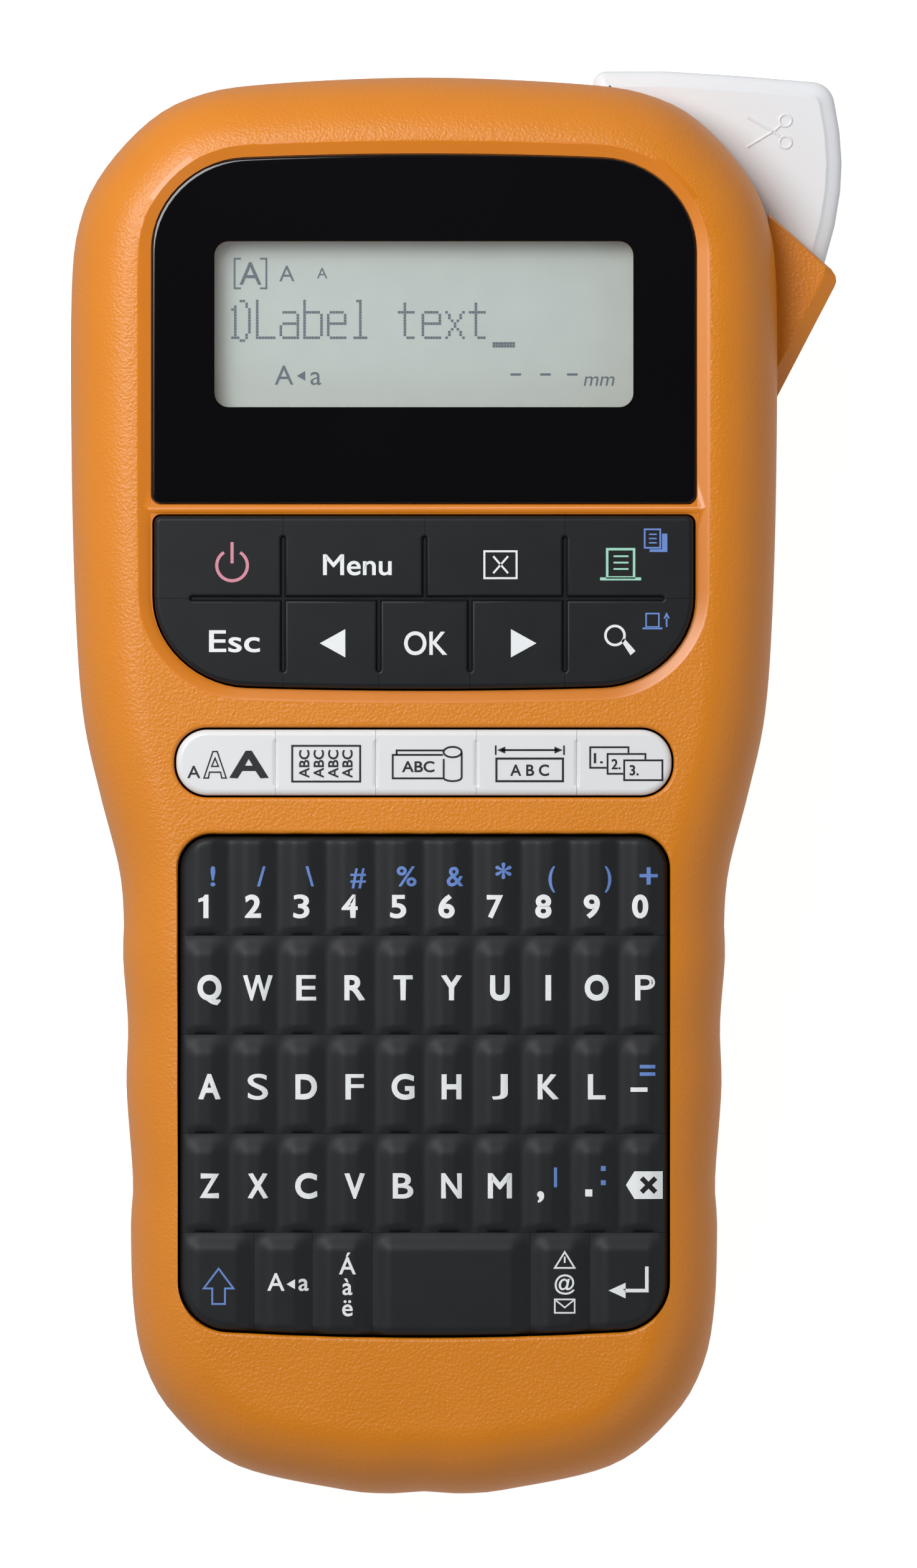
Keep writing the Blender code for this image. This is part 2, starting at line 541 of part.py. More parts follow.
def train_centres():
    idler = stepped(PLATEN_CENTRE, math.radians(IDLER_BEARING), PLATEN_TEETH, IDLER_TEETH)
    return {
        "idler": idler,
        "pinion": stepped(idler, math.radians(PINION_BEARING), IDLER_TEETH, PINION_TEETH),
        "spindle": stepped(idler, math.radians(SPINDLE_BEARING), IDLER_TEETH, SPINDLE_TEETH),
    }


def gear(name, centre, teeth, phase, bore, look):
    outer = gear_outline(centre, teeth, phase)
    inner = circle(centre, bore, len(outer), phase - 0.6 * math.pi / teeth)
    return tube(name, outer, inner, GEAR_LOW_Z, GEAR_TOP_Z, look, (*centre, 0))


def build_train(looks, centres):
    idler_phase = 0.0
    to_platen = math.radians(IDLER_BEARING) + math.pi
    platen_phase = mesh_phase(to_platen, IDLER_TEETH, idler_phase, PLATEN_TEETH)
    pinion_phase = mesh_phase(math.radians(PINION_BEARING), IDLER_TEETH, idler_phase, PINION_TEETH)
    spindle_phase = mesh_phase(math.radians(SPINDLE_BEARING), IDLER_TEETH, idler_phase, SPINDLE_TEETH)
    fit = 0.3
    gear("idler_gear", centres["idler"], IDLER_TEETH, idler_phase, POST_RADIUS + fit, looks["gear"])
    gear("platen_gear", PLATEN_CENTRE, PLATEN_TEETH, platen_phase, SHAFT_RADIUS + fit, looks["gear"])
    gear("motor_pinion", centres["pinion"], PINION_TEETH, pinion_phase, MOTOR_SHAFT_RADIUS + fit, looks["brass"])
    spindle = prism("ribbon_spindle", gear_outline(centres["spindle"], SPINDLE_TEETH, spindle_phase),
                    GEAR_LOW_Z, GEAR_TOP_Z, looks["gear"], (*centres["spindle"], 0))
    shaft = [(SPINDLE_RADIUS, SPINDLE_LOW_Z), (SPINDLE_RADIUS, GEAR_LOW_Z + 1)]
    join(spindle, turned("spindle_shaft", centres["spindle"], shaft, sides=16))
    roller = [
        (SHAFT_RADIUS, PLATEN_LOW_Z - 1), (SHAFT_RADIUS, PLATEN_LOW_Z), (PLATEN_RADIUS, PLATEN_LOW_Z),
        (PLATEN_RADIUS, PLATEN_TOP_Z), (SHAFT_RADIUS, PLATEN_TOP_Z), (SHAFT_RADIUS, GEAR_TOP_Z + 0.6),
    ]
    turned("platen_roller", PLATEN_CENTRE, roller, looks["rubber"], 24)
    motor = [
        (MOTOR_RADIUS - MOTOR_EDGE, MOTOR_LOW_Z), (MOTOR_RADIUS, MOTOR_LOW_Z + MOTOR_EDGE),
        (MOTOR_RADIUS, MOTOR_TOP_Z), (MOTOR_NECK_RADIUS, MOTOR_TOP_Z), (MOTOR_NECK_RADIUS, MOTOR_NECK_Z),
        (MOTOR_SHAFT_RADIUS, MOTOR_NECK_Z), (MOTOR_SHAFT_RADIUS, GEAR_TOP_Z + 0.4),
    ]
    turned("drive_motor", centres["pinion"], motor, looks["steel"])
    head = (HEAD_LEFT, HEAD_RIGHT, HEAD_LOW, HEAD_TOP, HEAD_LOW_Z, DECK_LOW_Z - GAP)
    box("print_head", *head, looks["aluminium"])


# ---------------------------------------------------------------- cutter

def lever_outline():
    """The fan outside the body, then back along its hidden edge to the hub."""
    hub = [p for p in circle(LEVER_PIVOT, LEVER_HUB_RADIUS, 20) if p[0] < LEVER_PIVOT[0] - 1]
    rim = [
        (55.7, 71.8), (56.8, 74.1), (58.8, 81), (59.4, 88.3), (59.2, 92.8), (58.0, 97.9), (57.2, 99.1),
        (55.4, 99.6), (44.4, 100.8), (32.9, 101.6), (25.9, 101.6), (24.3, 101.2), (23.65, 99.7),
    ]
    return [(28, 78.3), (46, 71.5), *rim, *hub]


def build_cutter(looks):
    pivot = (*LEVER_PIVOT, LEVER_LOW_Z)
    outline = lever_outline()
    edge = inset(outline, LEVER_RIM_INSET)
    rings = [
        at_height(edge, LEVER_LOW_Z), at_height(outline, LEVER_LOW_Z + LEVER_RIM_DROP),
        at_height(outline, LEVER_TOP_Z - LEVER_RIM_DROP), at_height(edge, LEVER_TOP_Z),
    ]
    lever = lofted("cutter_lever", rings, looks["white"], pivot)
    bore_radius = LEVER_PIN_RADIUS + 0.1
    bore = [(bore_radius, LEVER_LOW_Z - 2), (bore_radius, LEVER_TOP_Z + 2)]
    cut(lever, turned("lever_bore", LEVER_PIVOT, bore, sides=24))
    pin = [(LEVER_PIN_RADIUS, DECK_TOP_Z + GAP), (LEVER_PIN_RADIUS, LEVER_PIN_TOP_Z)]
    turned("cutter_lever_pin", LEVER_PIVOT, pin, looks["steel"], 24)
    blade_size = (BLADE_LEFT, BLADE_RIGHT, BLADE_LOW, BLADE_TOP, BLADE_LOW_Z, BLADE_TOP_Z)
    blade = box("cutter_blade", *blade_size, looks["steel"])
    relief = (BLADE_LEFT - 2, BLADE_RIGHT - 2.5, BLADE_LOW - 1, BLADE_TOP + 1)
    cut(blade, box("blade_relief", *relief, BLADE_TOP_Z - 4.6, BLADE_TOP_Z + 1))
    build_return_spring(looks)


def build_return_spring(looks):
    """A torsion spring of round wire about the lever's pin."""
    wire, radius, turns, per_turn, sides = 0.3, 3.3, 3, 14, 6
    low, high = LEVER_TOP_Z + LEVER_CLEARANCE, LEVER_PIN_TOP_Z - 0.4
    rings = []
    for step in range(turns * per_turn + 1):
        angle = 2 * math.pi * step / per_turn
        height = low + (high - low) * step / (turns * per_turn)
        across = (math.cos(angle), math.sin(angle))
        rings.append([
            (LEVER_PIVOT[0] + across[0] * (radius + wire * math.cos(round_wire)),
             LEVER_PIVOT[1] + across[1] * (radius + wire * math.cos(round_wire)),
             height + wire * math.sin(round_wire))
            for round_wire in (2 * math.pi * k / sides for k in range(sides))
        ])
    lofted("cutter_return_spring", rings, looks["spring_steel"])


def build_fasteners(looks):
    for i, (x, y, seat) in enumerate(SCREWS):
        head_top = seat - GAP
        head_low = head_top - SCREW_HEAD_HEIGHT
        profile = [
            (SCREW_HEAD_RADIUS - SCREW_HEAD_EDGE, head_low), (SCREW_HEAD_RADIUS, head_low + SCREW_HEAD_EDGE),
            (SCREW_HEAD_RADIUS, head_top), (SCREW_RADIUS, head_top), (SCREW_RADIUS, head_top + SCREW_LENGTH),
        ]
        turned(f"case_screw_{i + 1}", (x, y), profile, looks["steel"], 12)
    across = (JACK_Y - JACK_HALF_WIDTH, JACK_Y + JACK_HALF_WIDTH)
    upright = (JACK_Z - JACK_HALF_HEIGHT, JACK_Z + JACK_HALF_HEIGHT)
    jack = box("power_inlet", JACK_LEFT, JACK_RIGHT, *across, *upright, looks["black"])
    wall, pin = (circle((0, 0), radius, 16) for radius in (JACK_SOCKET_RADIUS, JACK_PIN_RADIUS))
    socket = tube("inlet_socket", wall, pin, JACK_LEFT + 2, JACK_RIGHT + 3.6, None)
    socket.rotation_euler = (0, math.pi / 2, 0)
    socket.location = (0, JACK_Y * MM, JACK_Z * MM)
    cut(jack, socket)


def build_looks():
    return {
        "orange": finish("orange_casing", (0.78, 0.27, 0.03), 0.45),
        "white": finish("white_plastic", (0.86, 0.87, 0.88), 0.3),
        "window": finish("window_gloss_black", (0.006, 0.006, 0.008), 0.05),
        "lcd": finish("liquid_crystal", (0.45, 0.51, 0.48), 0.25),
        "charcoal": finish("function_key_rubber", (0.022, 0.023, 0.025), 0.5),
        "rubber": finish("keypad_rubber", (0.015, 0.016, 0.018), 0.55),
        "board": finish("circuit_board", (0.02, 0.17, 0.08), 0.5),
        "frame": finish("inner_plastic", (0.03, 0.03, 0.033), 0.5),
        "cassette": finish("cassette_plastic", (0.08, 0.08, 0.085), 0.4),
        "tape": finish("tape", (0.85, 0.85, 0.83), 0.4),
        "cell": finish("battery_jacket", (0.1, 0.12, 0.16), 0.3, 0.4),
        "gear": finish("gear_plastic", (0.8, 0.8, 0.76), 0.4),
        "brass": finish("brass", (0.72, 0.5, 0.2), 0.3, 1.0),
        "steel": finish("steel", (0.6, 0.61, 0.63), 0.3, 1.0),
        "spring_steel": finish("spring_steel", (0.5, 0.5, 0.52), 0.3, 1.0),
        "aluminium": finish("aluminium", (0.75, 0.76, 0.78), 0.35, 1.0),
        "black": finish("black_plastic", (0.02, 0.02, 0.02), 0.4),
    }


def build():
    for old in list(bpy.data.objects):
        bpy.data.objects.remove(old)
    looks = build_looks()
    centres = train_centres()
    build_shells(looks)
    build_guard(looks)
    build_display(looks)
    build_keys(looks)
    build_bay_frame(looks, centres)
    build_cassette(looks, centres["spindle"])
    build_cells(looks)
    build_train(looks, centres)
    build_cutter(looks)
    build_fasteners(looks)


build()
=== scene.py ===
import math

import bmesh
import bpy
from mathutils import Matrix, Vector
from mathutils.bvhtree import BVHTree


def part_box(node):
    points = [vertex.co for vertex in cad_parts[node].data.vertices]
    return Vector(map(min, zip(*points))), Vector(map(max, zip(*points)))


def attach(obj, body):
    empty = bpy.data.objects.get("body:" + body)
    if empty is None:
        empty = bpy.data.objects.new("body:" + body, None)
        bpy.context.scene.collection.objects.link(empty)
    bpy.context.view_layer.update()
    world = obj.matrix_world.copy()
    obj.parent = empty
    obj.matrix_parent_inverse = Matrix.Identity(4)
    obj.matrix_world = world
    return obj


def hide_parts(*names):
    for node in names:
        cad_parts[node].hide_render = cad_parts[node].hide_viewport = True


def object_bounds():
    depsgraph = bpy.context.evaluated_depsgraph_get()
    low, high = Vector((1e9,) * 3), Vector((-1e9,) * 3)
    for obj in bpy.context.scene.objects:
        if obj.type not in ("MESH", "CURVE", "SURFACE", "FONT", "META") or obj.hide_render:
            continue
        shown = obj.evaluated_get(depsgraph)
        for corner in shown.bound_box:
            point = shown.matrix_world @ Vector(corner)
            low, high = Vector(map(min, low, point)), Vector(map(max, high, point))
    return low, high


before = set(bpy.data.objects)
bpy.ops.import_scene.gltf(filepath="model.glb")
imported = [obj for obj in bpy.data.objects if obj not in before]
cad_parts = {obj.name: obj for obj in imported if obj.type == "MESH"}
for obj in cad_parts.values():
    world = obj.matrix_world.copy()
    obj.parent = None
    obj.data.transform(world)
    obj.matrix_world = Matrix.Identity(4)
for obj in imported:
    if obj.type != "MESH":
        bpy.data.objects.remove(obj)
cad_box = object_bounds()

MM = 0.001

# ---------------------------------------------------------------- studio
# The machine lies on its back on a wide pale sweep. One broad soft light comes from above the display end
# and to the left, a weak one from the right, and the sky overhead is dark so that the window stays black.

FLOOR_HALF_SIZE = 20.0
CAMERA_DISTANCE = 3.0
VIEW_HEIGHT, VIEW_LEVEL = 222.4 * MM, 45 * MM
SENSOR = 36.0


def placed(name, data):
    made = bpy.data.objects.new(name, data)
    bpy.context.scene.collection.objects.link(made)
    return made


def make_sheet_floor():
    mesh = bpy.data.meshes.new("floor")
    s = FLOOR_HALF_SIZE
    mesh.from_pydata([(-s, -s, 0), (s, -s, 0), (s, s, 0), (-s, s, 0)], [], [(0, 1, 2, 3)])
    floor = placed("floor", mesh)
    floor.location.z = cad_box[0][2] - 0.2 * MM
    paper = bpy.data.materials.new("pale_paper")
    paper.use_nodes = True
    shader = paper.node_tree.nodes["Principled BSDF"]
    shader.inputs["Base Color"].default_value = (0.42, 0.42, 0.42, 1)
    shader.inputs["Emission Color"].default_value = (1, 1, 1, 1)
    shader.inputs["Emission Strength"].default_value = 0.9
    shader.inputs["Roughness"].default_value = 0.9
    shader.inputs["Specular IOR Level"].default_value = 0.0
    mesh.materials.append(paper)
    floor.visible_diffuse = floor.visible_glossy = False


def add_soft_box(name, power, size, place, aim):
    """A square soft light at a place, facing a point, both in metres."""
    light = bpy.data.lights.new(name, "AREA")
    light.energy, light.size = power, size
    lamp = placed(name, light)
    lamp.location = place
    lamp.rotation_euler = (Vector(aim) - Vector(place)).to_track_quat("-Z", "Y").to_euler()
    lamp.visible_camera = False


def light_sky():
    world = bpy.data.worlds.new("studio")
    bpy.context.scene.world = world
    world.use_nodes = True
    nodes, links = world.node_tree.nodes, world.node_tree.links
    place = nodes.new("ShaderNodeTexCoord")
    split = nodes.new("ShaderNodeSeparateXYZ")
    ramp = nodes.new("ShaderNodeValToRGB")
    ramp.color_ramp.elements[0].position, ramp.color_ramp.elements[0].color = 0.55, (0.93, 0.94, 0.96, 1)
    ramp.color_ramp.elements[1].position, ramp.color_ramp.elements[1].color = 0.93, (0.01, 0.01, 0.012, 1)
    links.new(place.outputs["Generated"], split.inputs[0])
    links.new(split.outputs["Z"], ramp.inputs[0])
    links.new(ramp.outputs[0], nodes["Background"].inputs["Color"])
    nodes["Background"].inputs["Strength"].default_value = 0.6


def set_camera():
    low, high = Vector(cad_box[0]), Vector(cad_box[1])
    lens = bpy.data.cameras.new("camera")
    lens.sensor_width = SENSOR
    lens.lens = SENSOR * (CAMERA_DISTANCE - VIEW_LEVEL) / VIEW_HEIGHT
    lens.clip_end = 100
    camera = placed("camera", lens)
    camera.location = ((low.x + high.x) / 2 + 0.25 * MM, (low.y + high.y) / 2 - 0.35 * MM, CAMERA_DISTANCE)
    bpy.context.scene.camera = camera


make_sheet_floor()
add_soft_box("key_light", 2.35, 0.28, (-0.20, 0.22, 0.48), (0, 0.01, 0.04))
add_soft_box("fill_light", 0.2, 0.30, (0.42, -0.34, 0.45), (0, 0, 0.03))
light_sky()
set_camera()
bpy.context.scene.view_settings.view_transform = "Standard"

# ---------------------------------------------------------------- front shell
# The keyboard half of the casing, moulded in orange plastic about 2 mm thick and screwed to the rear shell.
# Its edge is rolled over all round, and a smooth bevelled rim runs round the window and the function keys.

PARTING = 27.0
SEAM = 0.14
WALL = 2.0
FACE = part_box("front_shell")[1].z / MM
FACE_INSIDE = FACE - 3.0
ROLL_INSET, ROLL_DEPTH = 9.4, 12.0
OUTLINE_POINTS = 240
HALF_OUTLINE = [
    (0, 100.5), (23, 99.5), (32.5, 97.8), (39.1, 94.2), (45.5, 87.2), (48.8, 80.1), (50, 70), (50, 45),
    (49.4, 23.6), (48.3, 9.5), (46, -1.1), (43.3, -11.6), (42.6, -18.7), (42.7, -24.5), (42, -34),
    (42.2, -43), (41.3, -56), (41.6, -62.5), (41.2, -74), (39.6, -82.2), (35.5, -89.3), (26.8, -96.4),
    (11.8, -99.9), (5, -100.5), (0, -100.2),
]


def spline_through(points, steps):
    """A closed Catmull-Rom curve through the points."""
    curve = []
    for i, b in enumerate(points):
        a, c, d = points[i - 1], points[(i + 1) % len(points)], points[(i + 2) % len(points)]
        for step in range(steps):
            t = step / steps
            curve.append(tuple(
                0.5 * (2 * b[k] + (c[k] - a[k]) * t + (2 * a[k] - 5 * b[k] + 4 * c[k] - d[k]) * t ** 2
                       + (3 * b[k] - a[k] - 3 * c[k] + d[k]) * t ** 3)
                for k in (0, 1)
            ))
    return curve


def evenly(points, count):
    """The closed curve read at equal distances along it."""
    closed = points + points[:1]
    lengths = [math.dist(a, b) for a, b in zip(closed, closed[1:])]
    total, walked, index, result = sum(lengths), 0.0, 0, []
    for k in range(count):
        target = total * k / count
        while walked + lengths[index] < target:
            walked += lengths[index]
            index += 1
        share = (target - walked) / lengths[index]
        a, b = closed[index], closed[index + 1]
        result.append((a[0] + (b[0] - a[0]) * share, a[1] + (b[1] - a[1]) * share))
    return result


def inset(outline, distance):
    """The outline moved inwards along its normals."""
    moved = []
    for i, (x, y) in enumerate(outline):
        before, after = outline[i - 1], outline[(i + 1) % len(outline)]
        along = (after[0] - before[0], after[1] - before[1])
        size = math.hypot(*along)
        moved.append((x - along[1] / size * distance, y + along[0] / size * distance))
    return moved


def rounded(left, right, low, top, low_corner, top_corner, low_arch=0.0, top_arch=0.0, grow=0.0, steps=14):
    """A rounded rectangle, its lower and upper edges arched outwards in the middle."""
    corners = [
        (right - low_corner, low + low_corner, low_corner, -90),
        (right - top_corner, top - top_corner, top_corner, 0),
        (left + top_corner, top - top_corner, top_corner, 90),
        (left + low_corner, low + low_corner, low_corner, 180),
    ]
    middle, centre, half = (low + top) / 2, (left + right) / 2, (right - left) / 2
    points = []
    for x, y, radius, start in corners:
        for step in range(steps + 1):
            angle = math.radians(start + 90 * step / steps)
            points.append((x + (radius + grow) * math.cos(angle), y + (radius + grow) * math.sin(angle)))
    longest = 4.0
    split = []
    for a, b in zip(points, points[1:] + points[:1]):
        pieces = max(1, round(math.dist(a, b) / longest))
        split += [(a[0] + (b[0] - a[0]) * k / pieces, a[1] + (b[1] - a[1]) * k / pieces)
                  for k in range(pieces)]
    bent = []
    for x, y in split:
        share, height = ((x - centre) / half) ** 2, (y - middle) / (top - middle)
        bent.append((x, y - (top_arch * share * height if height > 0 else low_arch * share * height)))
    return bent


def at_height(outline, z):
    return [(x, y, z) for x, y in outline]


def ring_points(x, y, radius, sides=28):
    return [(x + radius * math.cos(2 * math.pi * k / sides), y + radius * math.sin(2 * math.pi * k / sides))
            for k in range(sides)]


def quarter_turn(steps):
    """Cosine and sine at even steps round a quarter circle."""
    return [(math.cos(math.pi / 2 * k / steps), math.sin(math.pi / 2 * k / steps)) for k in range(steps + 1)]


def lofted(name, rings):
    """A solid through rings of points in millimetres, capped at both ends."""
    mesh = bmesh.new()
    rows = [[mesh.verts.new([c * MM for c in point]) for point in ring] for ring in rings]
    for lower, upper in zip(rows, rows[1:]):
        for i in range(len(lower)):
            j = (i + 1) % len(lower)
            mesh.faces.new((lower[i], lower[j], upper[j], upper[i]))
    mesh.faces.new(rows[0][::-1])
    mesh.faces.new(rows[-1])
    bmesh.ops.recalc_face_normals(mesh, faces=mesh.faces)
    return as_piece(name, mesh)


def straight(name, outline, low, high):
    """A straight-sided solid on an outline."""
    return lofted(name, [at_height(outline, low), at_height(outline, high)])


def as_piece(name, mesh):
    data = bpy.data.meshes.new(name)
    mesh.to_mesh(data)
    mesh.free()
    return placed(name, data)


def plain_mesh(holder):
    """What a curve, a text or a piece with modifiers comes out as."""
    graph = bpy.context.evaluated_depsgraph_get()
    return bpy.data.meshes.new_from_object(holder.evaluated_get(graph))


def settled(piece):
    """The piece with its modifiers worked into its mesh."""
    made = plain_mesh(piece)
    piece.modifiers.clear()
    piece.data = made
    return piece


def carve(piece, tool, operation="DIFFERENCE"):
    """Cuts a tool away from the piece, or joins it on, and throws the tool away."""
    step = piece.modifiers.new("carve", "BOOLEAN")
    step.operation, step.solver, step.object = operation, "EXACT", tool
    settled(piece)
    bpy.data.objects.remove(tool)
    return piece


def smooth_edges(piece, angle=32):
    """Smooth shading that keeps broad flat faces flat right up to their rounded edges."""
    piece.data.shade_smooth()
    piece.data.set_sharp_from_angle(angle=math.radians(angle))
    step = piece.modifiers.new("flatten", "WEIGHTED_NORMAL")
    step.keep_sharp = True
    return piece


def rounded_mouth(name, outline_at, gap, edge, top, bottom):
    """A cutter for an opening whose upper edge is rounded over."""
    rings = [at_height(outline_at(gap), bottom)]
    for cosine, sine in quarter_turn(6):
        rings.append(at_height(outline_at(gap + edge * (1 - cosine)), top - edge + edge * sine))
    rings.append(at_height(outline_at(gap + edge), top + 4))
    return lofted(name, rings)


def box_mm(node):
    low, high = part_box(node)
    return [c / MM for c in low], [c / MM for c in high]


window_low, window_high = box_mm("display_window")
function_low, function_high = box_mm("escape_key")[0], box_mm("print_key")[1]
strip_low, strip_high = box_mm("text_key")[0], box_mm("number_key")[1]
pad_low = [box_mm("digit_keys")[0][0], box_mm("space_key")[0][1]]
pad_high = box_mm("digit_keys")[1]
RIM_WIDTH, RIM_DROP = 2.0, 0.7
LEVER_GAP = 0.6


def window_outline(grow=0.0):
    return rounded(window_low[0], window_high[0], window_low[1], window_high[1], 1.2, 13, 0, 1.2, grow)


def function_outline(grow=0.0):
    return rounded(function_low[0], function_high[0], function_low[1], function_high[1],
                   13, 1.0, 0.9, 0, grow)


def strip_outline(grow=0.0):
    return rounded(strip_low[0], strip_high[0], strip_low[1], strip_high[1], 4.4, 4.4, grow=grow)


def pad_outline(grow=0.0):
    return rounded(pad_low[0], pad_high[0], pad_low[1], pad_high[1], 6.5, 4.5, 1.2, 0, grow)


def rim_outline(grow=0.0):
    return rounded(window_low[0], window_high[0], function_low[1], window_high[1], 13, 13, 0.9, 1.2, grow)


def body_outline():
    left = [(-x, y) for x, y in HALF_OUTLINE]
    return evenly(spline_through(left + HALF_OUTLINE[-2:0:-1], 12), OUTLINE_POINTS)


def rolled_rings(outline):
    """From the inside of the face, down the inner wall, over the parting edge and up round the roll."""
    edge = 0.35
    low = PARTING + SEAM
    path = [(ROLL_INSET + 1.5, FACE_INSIDE), (5.0, 48.5), (WALL + 0.4, 42.0), (WALL, low),
            (edge, low), (edge * 0.3, low + edge * 0.3), (0.0, low + edge)]
    path += [(ROLL_INSET * (1 - cosine), FACE - ROLL_DEPTH * (1 - sine)) for cosine, sine in quarter_turn(18)]
    path.append((ROLL_INSET + 0.5, FACE))
    return [at_height(inset(outline, distance), z) for distance, z in path]


def lever_slot():
    low, high = box_mm("cutter_lever")
    outline = [(22.9, 86), (40, 86), (40, 60.5), (62, 60.5), (62, 104), (22.9, 104)]
    return straight("slot", outline, low[2] - LEVER_GAP, high[2] + LEVER_GAP)


def cut_rim(shell):
    """The sloping smooth rim, then the seats inside it and the rounded bar between window and keys."""
    floor = FACE - RIM_DROP
    above = FACE + 3
    path = [(0.25, floor), (0.3, floor + 0.04), (RIM_WIDTH - 0.45, FACE - 0.16),
            (RIM_WIDTH - 0.15, FACE - 0.03),
            (RIM_WIDTH + 0.1, FACE), (RIM_WIDTH + 0.3, above)]
    carve(shell, lofted("rim", [at_height(rim_outline(reach), z) for reach, z in path]))
    carve(shell, straight("seat", window_outline(0.2), window_low[2] - 0.3, above))
    carve(shell, straight("mouth", function_outline(0.3), WELL_FLOOR, above))
    carve(shell, straight("screen", rounded(*SCREEN, 2.0, 2.0, steps=6), WELL_FLOOR, above))
    middle = (window_low[1] + function_high[1]) / 2
    half = (window_low[1] - function_high[1]) / 2 - 0.12
    angles = [math.pi * (k / 12) for k in range(13)]
    crown = [(middle + half * math.cos(a), floor - 0.55 + 0.75 * math.sin(a)) for a in angles]
    section = crown + [(middle - half, BAR_FOOT), (middle + half, BAR_FOOT)]
    bar = [[(x, y, z) for y, z in section] for x in (function_low[0] - 0.9, function_high[0] + 0.9)]
    return carve(shell, lofted("bar", bar), "UNION")


SCREEN = (-29.6, 29.6, 53.5, 76.95)
WELL_FLOOR, BAR_FOOT = 46, 52
outline = body_outline()
front_shell = lofted("front_casing", rolled_rings(outline))
cut_rim(front_shell)
carve(front_shell, rounded_mouth("strip", strip_outline, 0.3, 0.55, FACE, WELL_FLOOR))
carve(front_shell, rounded_mouth("pad", pad_outline, 0.35, 0.6, FACE, WELL_FLOOR))
carve(front_shell, lever_slot())
smooth_edges(front_shell)


def principled(name, colour, roughness, metallic=0.0):
    """A material with the shader's plain values set, ready for its pattern nodes."""
    made = bpy.data.materials.new(name)
    made.use_nodes = True
    shader = made.node_tree.nodes["Principled BSDF"]
    shader.inputs["Base Color"].default_value = (*colour, 1)
    shader.inputs["Roughness"].default_value = roughness
    shader.inputs["Metallic"].default_value = metallic
    return made


BROAD_TO_FINE = 22


def grain(made, size, height, tone=0.04, gloss=0.05, stretch=(1, 1, 1)):
    """Adds a moulded grain: a fine bump, and a little change of tone and gloss over a broader scale."""
    nodes, links = made.node_tree.nodes, made.node_tree.links
    shader = nodes["Principled BSDF"]
    place, turn = nodes.new("ShaderNodeTexCoord"), nodes.new("ShaderNodeMapping")
    turn.inputs["Scale"].default_value = stretch
    links.new(place.outputs["Object"], turn.inputs[0])
    fine, broad = nodes.new("ShaderNodeTexNoise"), nodes.new("ShaderNodeTexNoise")
    for texture, scale, detail in ((fine, 1, 2), (broad, BROAD_TO_FINE, 3)):
        texture.inputs["Scale"].default_value = 1 / (size * MM * scale)
        texture.inputs["Detail"].default_value = detail
    for texture in (fine, broad):
        links.new(turn.outputs[0], texture.inputs["Vector"])
    bump = nodes.new("ShaderNodeBump")
    bump.inputs["Strength"].default_value, bump.inputs["Distance"].default_value = 1.0, height * MM
    links.new(fine.outputs[0], bump.inputs["Height"])
    links.new(bump.outputs[0], shader.inputs["Normal"])
    colour = list(shader.inputs["Base Color"].default_value)
    mix = nodes.new("ShaderNodeMix")
    mix.data_type = "RGBA"
    mix.inputs[6].default_value = [c * (1 - tone) for c in colour[:3]] + [1]
    mix.inputs[7].default_value = [min(1, c * (1 + tone)) for c in colour[:3]] + [1]
    links.new(broad.outputs[0], mix.inputs[0])
    links.new(mix.outputs[2], shader.inputs["Base Color"])
    spread = nodes.new("ShaderNodeMapRange")
    rough = shader.inputs["Roughness"].default_value
    spread.inputs["To Min"].default_value = rough - gloss
    spread.inputs["To Max"].default_value = rough + gloss
    links.new(broad.outputs[0], spread.inputs[0])
    links.new(spread.outputs[0], shader.inputs["Roughness"])
    return made


def finish(name, colour, roughness, size, height, metallic=0.0, specular=0.5, **change):
    """A finished surface: its plain values, its grain and how strongly it shines."""
    made = grain(principled(name, colour, roughness, metallic), size, height, **change)
    made.node_tree.nodes["Principled BSDF"].inputs["Specular IOR Level"].default_value = specular
    return made


textured_orange = finish("textured_orange", (0.69, 0.215, 0.002), 0.42, 0.42, 0.11, specular=0.6)
smooth_orange = finish("smooth_orange", (0.68, 0.20, 0.005), 0.34, 0.5, 0.002, specular=0.6)


def inside(point, outline):
    """Whether a point lies within a closed outline."""
    x, y = point[0], point[1]
    crossings = 0
    for (ax, ay), (bx, by) in zip(outline, outline[1:] + outline[:1]):
        if (ay > y) != (by > y) and x < ax + (bx - ax) * (y - ay) / (by - ay):
            crossings += 1
    return crossings % 2 == 1


def face_with(piece, *looks):
    if piece.data.materials:
        piece.data.materials.clear()
    for look in looks:
        piece.data.materials.append(look)
    return piece


def settle_in(piece, body, slot, *nodes):
    """Hides the plain solids that a piece stands for and fixes it to the body that it moves with. The finish
    that it is given is not used.
    """
    if nodes:
        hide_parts(*nodes)
    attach(piece, body)
    return piece


face_with(front_shell, textured_orange, smooth_orange)
rim_edge = rim_outline(RIM_WIDTH + 0.12)
for face in front_shell.data.polygons:
    centre = face.center / MM
    if centre.z > FACE - RIM_DROP - 1.5 and centre.z < FACE - 0.001 and inside(centre, rim_edge):
        face.material_index = 1
settle_in(front_shell, "casing", "orange_casing", "front_shell")

# ---------------------------------------------------------------- rear shell
# The back half of the casing, moulded in the same orange plastic. It meets the front shell at a fine seam.
# The tape comes out of a slot at the display end, and the power plug goes into a hole in the right side.

BACK_ROLL = 6.0
COVER_GAP = 0.25
COVER_INSET = 7.5


